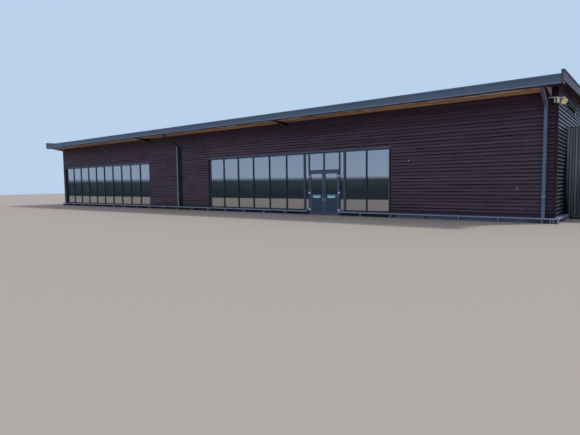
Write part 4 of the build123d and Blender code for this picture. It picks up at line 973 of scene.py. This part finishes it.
# Eave.
# A box gutter of folded coated steel behind a deep plain fascia with a capping band, and a soffit of narrow
# oiled larch boards under it. A dark bead along the fascia's foot and the dark outermost soffit boards are
# painted shadow, and the pale fold over the bead is a painted highlight. The next two boards in are greyer
# than the inner ones.
eaves_coat = sheet_metal("eaves_coat", colour(79, 100, 126), 0.4)
dress(eaves_coat, "eaves_fascia", "gutter_sole", "gutter_back", "back_fascia")
BAND, BAND_PROUD, BAND_CLEAR = 0.07, 0.018, 0.001
BAND_FACE, BAND_TOP = span("eaves_fascia", "y")[0], span("eaves_fascia", "z")[1]
FASCIA_FACE = BAND_FACE + BAND_PROUD
SHADOW_BEAD_FACE, FOLD_FACE = FASCIA_FACE - 0.004, FASCIA_FACE - 0.0035
FASCIA_TOP, BAND_FOOT = BAND_TOP - BAND - BAND_CLEAR, BAND_TOP - BAND + BAND_CLEAR
STRAP_REACH, FIRST_STRAP = 0.02, 0.2
fascia_low, fascia_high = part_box("eaves_fascia")
fascia_joints = Stock()
for step in range(SHEET_JOINTS):
    x = fascia_high.x - FIRST_STRAP - (step + 1) * SHEET_LENGTH
    a, b = x - STRAP_REACH, x + STRAP_REACH
    fascia_joints.bar(a, b, FASCIA_FACE - STRAP, FASCIA_FACE, fascia_low.z + CLEAR, FASCIA_TOP)
    fascia_joints.bar(a, b, BAND_FACE - STRAP, BAND_FACE, BAND_FOOT, BAND_TOP)
fascia_joints.piece("fascia_joint_straps", eaves_coat)
# A dark bead painted as the shadow line under the fascia, below a pale fold painted as a highlight.
SHADOW_BEAD, LIT_FOLD = (0.001, 0.026), (0.027, 0.062)
fascia_left, fascia_right = fascia_low.x + CLEAR, fascia_high.x - CLEAR
shadow_bead = Stock()
shadow_bead.bar(fascia_left, fascia_right, SHADOW_BEAD_FACE, FASCIA_FACE, *[fascia_low.z + z for z in SHADOW_BEAD])
lit_fold = Stock()
lit_fold.bar(fascia_left, fascia_right, FOLD_FACE, FASCIA_FACE, *[fascia_low.z + z for z in LIT_FOLD])
shadow_line_coat = sheet_metal("shadow_line_coat", colour(40, 39, 48), 0.6)
fold_highlight_coat = sheet_metal("fold_highlight_coat", colour(114, 134, 162), 0.4)
shadow_bead.piece("fascia_shadow_bead", shadow_line_coat)
lit_fold.piece("fascia_lit_fold", fold_highlight_coat, edge=0.001)
back_low, back_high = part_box("back_fascia")
back_joints = Stock()
for step in range(SHEET_JOINTS):
    x = back_high.x - FIRST_STRAP - (step + 1) * SHEET_LENGTH
    back_joints.bar(x - STRAP_REACH, x + STRAP_REACH, back_high.y, back_high.y + STRAP,
                    back_low.z + CLEAR, back_high.z - CLEAR)
back_joints.piece("back_fascia_straps", eaves_coat)

SOFFIT_BOARDS = 8
BOARD_JOINT, BUTT_JOINT = 0.002, 0.001
OUTER_GAP, GAP_BATTEN = 0.03, 0.006
BESIDE_BEAM = 0.047
SHORT_SOFFIT, LONG_SOFFIT = 1.2, 3.9
EVEN_ROWS, EVEN = (2, 3, 4), 0.3
OUTLET_FROM_END, OUTLET_FROM_FASCIA, OUTLET_REACH = 21.225, 0.17, 0.057
OUTLET_X, OUTLET_Y = RIGHT - OUTLET_FROM_END, FASCIA_FACE + OUTLET_FROM_FASCIA
OUTLET_LEFT, OUTLET_RIGHT = OUTLET_X - OUTLET_REACH, OUTLET_X + OUTLET_REACH
OUTLET_FRONT, OUTLET_BACK = OUTLET_Y - OUTLET_REACH, OUTLET_Y + OUTLET_REACH
soffit_low, soffit_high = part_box("eaves_soffit")
board_width = (soffit_high.y - soffit_low.y) / SOFFIT_BOARDS
soffit_bays = [(max(left_beam + BESIDE_BEAM, soffit_low.x), min(right_beam - BESIDE_BEAM, soffit_high.x))
               for right_beam, left_beam in zip(BEAM_LINES, BEAM_LINES[1:])]
shadow_row_boards = Stock()
pale_boards = Stock()
warm_boards = Stock()
for bay_left, bay_right in soffit_bays:
    for row in range(SOFFIT_BOARDS):
        kind = shadow_row_boards if row == 0 else pale_boards if row < 3 else warm_boards
        y0 = soffit_low.y + (row * board_width + BOARD_JOINT if row else OUTER_GAP)
        y1 = soffit_low.y + (row + 1) * board_width - BOARD_JOINT
        x = bay_left
        length = chance.uniform(SHORT_SOFFIT, LONG_SOFFIT)
        while x < bay_right - LAST_BOARD:
            stop = bay_right if bay_right - x - length < OFFCUT else x + length
            tone = chance.random() * (EVEN if row in EVEN_ROWS else 1)
            cuts = [x + BUTT_JOINT, stop - BUTT_JOINT]
            if y0 < OUTLET_BACK and y1 > OUTLET_FRONT and x < OUTLET_LEFT and stop > OUTLET_RIGHT:
                cuts[1:1] = [OUTLET_LEFT, OUTLET_RIGHT]
            for a, b in zip(cuts[::2], cuts[1::2]):
                kind.bar(a, b, y0, y1, soffit_low.z, soffit_high.z, tone)
            x = stop
            length = LONG_SOFFIT
gap_batten = Stock()
for bay_left, bay_right in soffit_bays:
    gap_batten.bar(bay_left, bay_right, soffit_low.y + BOARD_JOINT, soffit_low.y + OUTER_GAP - BOARD_JOINT,
                   soffit_high.z - GAP_BATTEN, soffit_high.z, tone=0.0)
gap_batten.piece("soffit_gap_batten", sheathing)
# The outermost soffit boards are stained dark as painted shadow under the fascia.
soffit_shadow_stain = timber("soffit_shadow_stain", colour(42, 30, 33), colour(70, 52, 52), "lengthwise", rough=0.7)
shadow_row_boards.piece("soffit_shadow_row_boards", soffit_shadow_stain, edge=0.003)


def pale_runs(brush, parts, patches, shade):
    """Pale runs along the two outermost oiled boards, each board in its own places."""
    across = (parts["Y"] - soffit_low.y) * (1 / board_width)
    board = across - across.fraction()
    place = brush.lay("CombineXYZ", {}, {0: parts["X"] * 1.7, 1: board * 4.3, 2: parts["Y"] * 9.0})
    outer_pair = 1 - across.ramp(2.9, 3.1)
    lighter = speckle(brush, place, 1.0, 4, 0.7).ramp(0.47, 0.57) * (outer_pair * 0.9 + 0.05)
    return lighter.mix(shade, colour(252, 240, 226)), 0.0


soffit_pale = timber("soffit_pale", colour(138, 104, 86), colour(196, 158, 134), "lengthwise", rough=0.6,
                     weather=pale_runs)
soffit_warm = timber("soffit_warm", colour(176, 122, 90), colour(255, 204, 158), "lengthwise", rough=0.5)
outer_soffit = pale_boards.piece("soffit_boards_outer", soffit_pale, edge=0.003)
warm_boards.piece("soffit_boards_inner", soffit_warm, edge=0.003)
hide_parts("eaves_soffit")


# Dark boarding under the roof's overhanging ends.
# Stained boards nailed up under the deck beside each wall, and under the gutter past the last beam.
under_stain = timber("under_stain", colour(34, 16, 27), colour(74, 46, 62), "lengthwise", rough=0.75,
                     gloss=0.1)
OVERHANG_LEFT, OVERHANG_RIGHT = span("verge_boxes", "x")
OVERHANG_FRONT, OVERHANG_BACK = span("gutter_back", "y")[1] + 0.004, BACK + 0.2
UNDER_BOARD, UNDER_GAP, FROM_WALL = 0.014, 0.001, 0.0005
UNDER_SHARES, SOLE_BOARDS = ((0, 0.33), (0.335, 0.665), (0.67, 1)), 3
GUTTER_SOLE = 4.748
SOLE_BOARD, SOLE_PITCH, SOLE_THICK, SOLE_FRONT = 0.111, 0.114, 0.012, -6.69


def under_section(x0, x1, y):
    """Outline of a board nailed up under the deck where it crosses a depth y."""
    foot, top = deck_under(y) - UNDER_BOARD, deck_under(y) - UNDER_GAP
    return [(x0, y, foot), (x1, y, foot), (x1, y, top), (x0, y, top)]


under = Stock()
for inner, outer in ((RIGHT + FROM_WALL, OVERHANG_RIGHT), (LEFT - FROM_WALL, OVERHANG_LEFT)):
    for shares in UNDER_SHARES:
        x0, x1 = [inner + (outer - inner) * share for share in shares]
        under.solid(under_section(x0, x1, OVERHANG_FRONT), under_section(x0, x1, OVERHANG_BACK),
                    chance.random())
for x0, x1 in ((BEAM_LINES[0] + BEAM_SLOT / 2, OVERHANG_RIGHT),
               (OVERHANG_LEFT, BEAM_LINES[-1] - BEAM_SLOT / 2)):
    for row in range(SOLE_BOARDS):
        y0 = SOLE_FRONT + row * SOLE_PITCH
        under.bar(x0, x1, y0, y0 + SOLE_BOARD, GUTTER_SOLE - SOLE_THICK, GUTTER_SOLE, chance.random())
under.piece("overhang_boards", under_stain, edge=0.002)


# Barges.
# Boxed ends of the roof: framed boxes faced with flat coated panels, screwed on with open joints, and a
# folded capping over the top.
barge_coat = sheet_metal("barge_coat", colour(76, 74, 78), 0.55)
dress(barge_coat, "verge_panels", "verge_boxes", "gutter_stop_ends")
cap_coat = sheet_metal("cap_coat", colour(72, 84, 102), 0.4)
dress(cap_coat, "verge_caps")
PANEL_LEFT, PANEL_RIGHT = span("verge_panels", "x")
RIVET_PITCH, FIRST_RIVET, RIVETS = 0.52, -6.62, 26
RIVET_DROPS, RIVET_HEAD = (0.075, 0.27), (0.006, 0.002, 8)
BARGE_FRONT, BARGE_TOP = span("verge_panels", "y")[0], 5.195
rivets = Stock()
for face, out in ((PANEL_RIGHT, 1), (PANEL_LEFT, -1)):
    for step in range(RIVETS):
        y = FIRST_RIVET + step * RIVET_PITCH
        for drop in RIVET_DROPS:
            z = BARGE_TOP + (y - BARGE_FRONT) * SLOPE - drop
            rivets.stud((face, y, z), (out, 0, 0), *RIVET_HEAD)
rivets.piece("barge_rivets", barge_coat)


# Rainwater pipes.
# Square coated aluminium pipes with a swan neck from the gutter's outlet back to the wall. A collar,
# folded from strip and bolted, holds each to the wall.
NECK_FOOT, PIPES_APART = (4.0, 4.35), (-1.0, 1.0)


def neck_light_and_shade(brush, place, shade):
    """The top of a pipe is painted in shade in front and with a highlight on its right flank.

    The left pipe is painted paler on its other faces, and in shade on its neck and right flank."""
    high = brush.lay("SeparateXYZ", {}, {0: place}, out="Z").ramp(*NECK_FOOT)
    left = 1 - brush.lay("SeparateXYZ", {}, {0: place}, out="X").ramp(*PIPES_APART)
    facing = brush.lay("NewGeometry", {}, {}, out="Normal")
    flank = brush.lay("SeparateXYZ", {}, {0: facing}, out="X").ramp(0.5, 0.8)
    shade = (high * (1 - flank) * 0.6).mix(shade, colour(84, 74, 92))
    shade = (high * flank * 0.75).mix(shade, colour(154, 152, 174))
    shade = (left * (1 - flank) * 0.3).mix(shade, colour(150, 166, 180))
    return (left * (high * 0.85 + (1 - high) * flank * 0.8)).mix(shade, colour(40, 40, 48))


# Its finish paints shade and highlights on the necks and flanks of the pipes.
pipe_coat = sheet_metal("pipe_coat", colour(86, 106, 138), 0.36, ripple=0.0006, weather=neck_light_and_shade)
dress(pipe_coat, "downpipe_left", "downpipe_right")
strap_coat = sheet_metal("strap_coat", colour(132, 150, 178), 0.36, ripple=0.0006)
COLLAR_REACH, COLLAR_INSIDE = 0.069, 0.057
COLLAR_FACE, PIPE_FACE, COLLAR_BACK = -5.6545, -5.642, -5.529
COLLAR_FOOT, COLLAR_TOP = 0.966, 1.002
HALF_COLLAR, COLLAR_BOLT, COLLAR_BOLT_HEAD = 0.067, 0.045, (0.008, 0.005)
pipe_straps = Stock()
for name in ("downpipe_left", "downpipe_right"):
    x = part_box(name)[1].x - HALF_COLLAR
    pipe_straps.bar(x - COLLAR_REACH, x + COLLAR_REACH, COLLAR_FACE, PIPE_FACE, COLLAR_FOOT, COLLAR_TOP)
    for side in (-1, 1):
        a, b = sorted((x + side * COLLAR_INSIDE, x + side * COLLAR_REACH))
        pipe_straps.bar(a, b, PIPE_FACE, COLLAR_BACK, COLLAR_FOOT, COLLAR_TOP)
        pipe_straps.stud((x + side * COLLAR_BOLT, COLLAR_FACE, (COLLAR_FOOT + COLLAR_TOP) / 2), (0, -1, 0),
                         *COLLAR_BOLT_HEAD)
pipe_straps.piece("pipe_straps", strap_coat)


# Side vent.
# A long louvre of coated aluminium blades high in the right wall, screwed into its frame. A pale end stile
# and the heads of the blades' clips stand in front of the blades.
vent_coat = sheet_metal("vent_coat", colour(30, 33, 40), 0.7, dust=0.05, ripple=0.0005)
dress(vent_coat, "side_vent")
vent_pale = sheet_metal("vent_pale", colour(168, 174, 184), 0.4, ripple=0.0005)
CLIP_LINES = (-3.26, -2.61, -2.10, -1.585, -1.12)
CLIP_REACH, CLIP_RISE = 0.045, (0.035, 0.085)
END_STILE, STILE_FOOT, STILE_DROP = (-0.75, -0.64), 0.003, 0.03
clip_foot, clip_top = [vent_low.z + rise for rise in CLIP_RISE]
STILE_BACK, STILE_FACE = RIGHT + 0.030, RIGHT + 0.0415
stiles = Stock()
for y in CLIP_LINES:
    stiles.bar(STILE_BACK, STILE_FACE, y - CLIP_REACH, y + CLIP_REACH, clip_foot, clip_top)
stiles.bar(STILE_BACK, STILE_FACE, *END_STILE, vent_low.z + STILE_FOOT, vent_high.z - STILE_DROP)
stiles.piece("vent_stiles", vent_pale, edge=0.001)


# Corner lamp.
# A round white enamelled lamp with a hood and a yellow lens, held by a knuckle on a box at the wall's
# corner.
# A dark rubber crescent on the lens's upper left is painted shadow under the hood, and a dark strip on the
# box's left edge is a painted shadow gap. A conduit with an elbow and a saddle brings its cable along the
# wall.
lamp_white = enamel("lamp_white", colour(214, 216, 217), colour(242, 243, 243))
dress(lamp_white, "lamp_housing", "lamp_bracket")
LAMP_X, LAMP_Z = [sum(span("lamp_lens", axis)) / 2 for axis in "xz"]
DRUM_FACE = span("lamp_housing", "y")[0]
DRUM_INSIDE, DRUM_OUTSIDE, LENS_EDGE = 0.1035, 0.1115, 0.076
BOX_LEFT, BOX_FOOT, BOX_TOP, BOX_FACE = 17.1035, 4.302, 4.488, -5.603
DARK_STRIP, STRIP_FACE, STRIP_BACK = 0.0325, BOX_FACE - 0.003, BOX_FACE - 0.0002
BOX_SCREWS, BOX_SCREW_IN = (0.0445, 0.0915), 0.010
BOX_SCREW_HEAD = (0.005, 0.002, 10)


def swept(stock, section, start, turn, count):
    """Sweeps an outline of (distance from the lamp's middle, distance before its drum) round the lamp.

    It starts at an angle and takes a number of equal turns, in degrees."""
    outlines = []
    for step in range(count + 1):
        angle = math.radians(start + step * turn)
        side, up = math.cos(angle), math.sin(angle)
        outlines.append([(LAMP_X + side * size, DRUM_FACE - out, LAMP_Z + up * size)
                         for size, out in section])
    for near, far in zip(outlines, outlines[1:]):
        stock.solid(near, far)


def amber_lens():
    """Ribbed yellow diffuser, painted deeper amber round its middle as the glow of the lamp behind it."""
    made, brush = finish("lens_yellow", {"Specular IOR Level": 0.6, "Roughness": 0.3})
    place = place_of(brush)
    parts = {axis: brush.lay("SeparateXYZ", {}, {0: place}, out=axis) for axis in "XZ"}
    reach = ((parts["X"] - LAMP_X) ** 2 + (parts["Z"] - LAMP_Z) ** 2) ** 0.5
    ribs = brush.sum("SINE", reach * 700, 0.0) * 0.5 + 0.5
    clouds = speckle(brush, place, 30)
    pale = clouds.mix(colour(250, 230, 158), colour(255, 248, 208))
    shade = (1 - reach.ramp(0.012, 0.065)).mix(pale, colour(250, 204, 136))
    return paint(made, brush, {"Base Color": shade, "Normal": rises(brush, ribs, 0.0008)})


dress(amber_lens(), "lamp_lens")
HOOD_SECTION = ((DRUM_INSIDE, 0.002), (DRUM_OUTSIDE, 0.002), (DRUM_OUTSIDE, 0.047), (DRUM_INSIDE, 0.035))
SHADOW_CRESCENT = ((LENS_EDGE, 0.0175), (DRUM_INSIDE, 0.002), (DRUM_INSIDE, 0.008), (LENS_EDGE, 0.0225))
hood = Stock()
swept(hood, HOOD_SECTION, start=-62, turn=13, count=14)
hood.piece("lamp_hood", lamp_white)
# Painted shadow: a dark crescent on the lens's upper left under the hood, and a dark strip at the box's
# left edge.
painted_shadows = Stock()
swept(painted_shadows, SHADOW_CRESCENT, start=96, turn=12, count=9)
painted_shadows.bar(BOX_LEFT, BOX_LEFT + DARK_STRIP, STRIP_FACE, STRIP_BACK, BOX_FOOT, BOX_TOP)
painted_shadows.piece("lamp_shadow_seals", gasket_rubber)
lamp_screws = Stock()
for z in (BOX_FOOT + BOX_SCREW_IN, BOX_TOP - BOX_SCREW_IN):
    for inward in BOX_SCREWS:
        lamp_screws.stud((BOX_LEFT + inward, BOX_FACE, z), (0, -1, 0), *BOX_SCREW_HEAD)
lamp_screws.piece("lamp_box_screws", hinge_steel)
CONDUIT_Y, CONDUIT_Z = -5.5655, 4.504
ELBOW_LEFT, ELBOW = 16.871, 16.886
CONDUIT, CONDUIT_RUN, SADDLE, SADDLE_RUN = 0.0135, 0.058, 0.0145, 0.0575
ELBOW_SOCKET = (0.015, 0.030, 12)
SADDLE_LEFT, SADDLE_RIGHT = 16.978, 16.990
conduit_end = Stock()
conduit_end.stud((ELBOW_LEFT, CONDUIT_Y, CONDUIT_Z), (1, 0, 0), *ELBOW_SOCKET)
conduit_end.stud((ELBOW, CONDUIT_Y, CONDUIT_Z), (0, 1, 0), CONDUIT, CONDUIT_RUN, 12)
conduit_end.bar(SADDLE_LEFT, SADDLE_RIGHT, CONDUIT_Y - CONDUIT, CONDUIT_Y + SADDLE_RUN,
                CONDUIT_Z - SADDLE, CONDUIT_Z + SADDLE)
conduit_end.piece("conduit_elbow", lamp_white)


# Yard screen.
# Upright sawn boards in two layers on steel posts and rails, spaced in front and close behind, screwed up
# against the right wall and notched over its ledge. A folded cap keeps rain off their ends.
GROUND_DARKER, BESIDE_WALL, BESIDE_TOP = (0.2, 2.4), (17.24, 17.36), (1.6, 3.3)


def dark_foot_and_wall_shade(brush, parts, patches, shade):
    """Boards darker towards the ground, and painted in shade beside the wall."""
    darkening = (1 - (parts["Z"] + patches * 0.6).ramp(*GROUND_DARKER)) * 0.6
    beside = (1 - parts["X"].ramp(*BESIDE_WALL)) * (1 - parts["Z"].ramp(*BESIDE_TOP)) * 0.55
    return (darkening + beside).held().mix(shade, colour(15, 19, 22)), 0.0


screen_stain = timber("screen_stain", colour(88, 95, 108), colour(158, 166, 186), "upright", rough=0.75,
                      mottle=0.5, weather=dark_foot_and_wall_shade)
# The inner boards, which show in the gaps between the front boards, are near black as painted shade.
screen_back = timber("screen_back", colour(24, 28, 34), colour(46, 50, 58), "upright", rough=0.8,
                     weather=dark_foot_and_wall_shade)
screen_coat = sheet_metal("screen_coat", colour(72, 74, 66), 0.5)
dress(screen_coat, "yard_screen_posts", "yard_screen_cap")
BOARD_PITCH, BOARD_GAP = 0.095, 0.024
INNER_GAP, LAYER_GAP = 0.003, 0.001
LEDGE_CLEAR, WALL_CLEAR, TUCKED_IN = 0.003, 0.001, 0.004
SKIRT_FOOT, SKIRT_GAP = 0.008, 0.004
NARROWEST = 0.03
sheet_low, sheet_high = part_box("yard_screen_sheet")
past_ledge, over_ledge = ledge_high.x + LEDGE_CLEAR, ledge_high.z + LEDGE_CLEAR
middle_y = (sheet_low.y + sheet_high.y) / 2


def round_ledge(left, right):
    """The parts of a board's width, each with the level it stands from: over the ledge, or past it."""
    edges = [left, past_ledge, right] if left < past_ledge < right else [left, right]
    return [(a, b, over_ledge if a < past_ledge else sheet_low.z) for a, b in zip(edges, edges[1:])]


screen = Stock()
x = sheet_low.x
while x < sheet_high.x - NARROWEST:
    stop = min(x + BOARD_PITCH, sheet_high.x + BOARD_GAP)
    tone = chance.random()
    for a, b, foot in round_ledge(x, stop - BOARD_GAP):
        screen.bar(a, b, sheet_low.y, middle_y - LAYER_GAP, foot, sheet_high.z, tone)
    x += BOARD_PITCH
screen_inner = Stock()
x = sheet_low.x
screen_inner.bar(RIGHT + WALL_CLEAR, x + TUCKED_IN, middle_y, sheet_high.y, over_ledge, sheet_high.z,
                 tone=0.1)
while x < sheet_high.x - NARROWEST:
    pitch = BOARD_PITCH / 2 if x == sheet_low.x else BOARD_PITCH
    stop = min(x + pitch - INNER_GAP, sheet_high.x)
    for a, b, foot in round_ledge(x, stop):
        screen_inner.bar(a, b, middle_y, sheet_high.y, foot, sheet_high.z, chance.random())
    x = stop + INNER_GAP
# A low skirt under the boards, near black as painted shade at the screen's foot.
screen_inner.bar(past_ledge, sheet_high.x, sheet_low.y + CLEAR, sheet_high.y - LAYER_GAP,
                 SKIRT_FOOT, sheet_low.z - SKIRT_GAP, tone=0.2)
screen_boards = screen.piece("yard_screen_boards", screen_stain, edge=0.003)
screen_inner.piece("yard_screen_inner_boards", screen_back)
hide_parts("yard_screen_sheet")
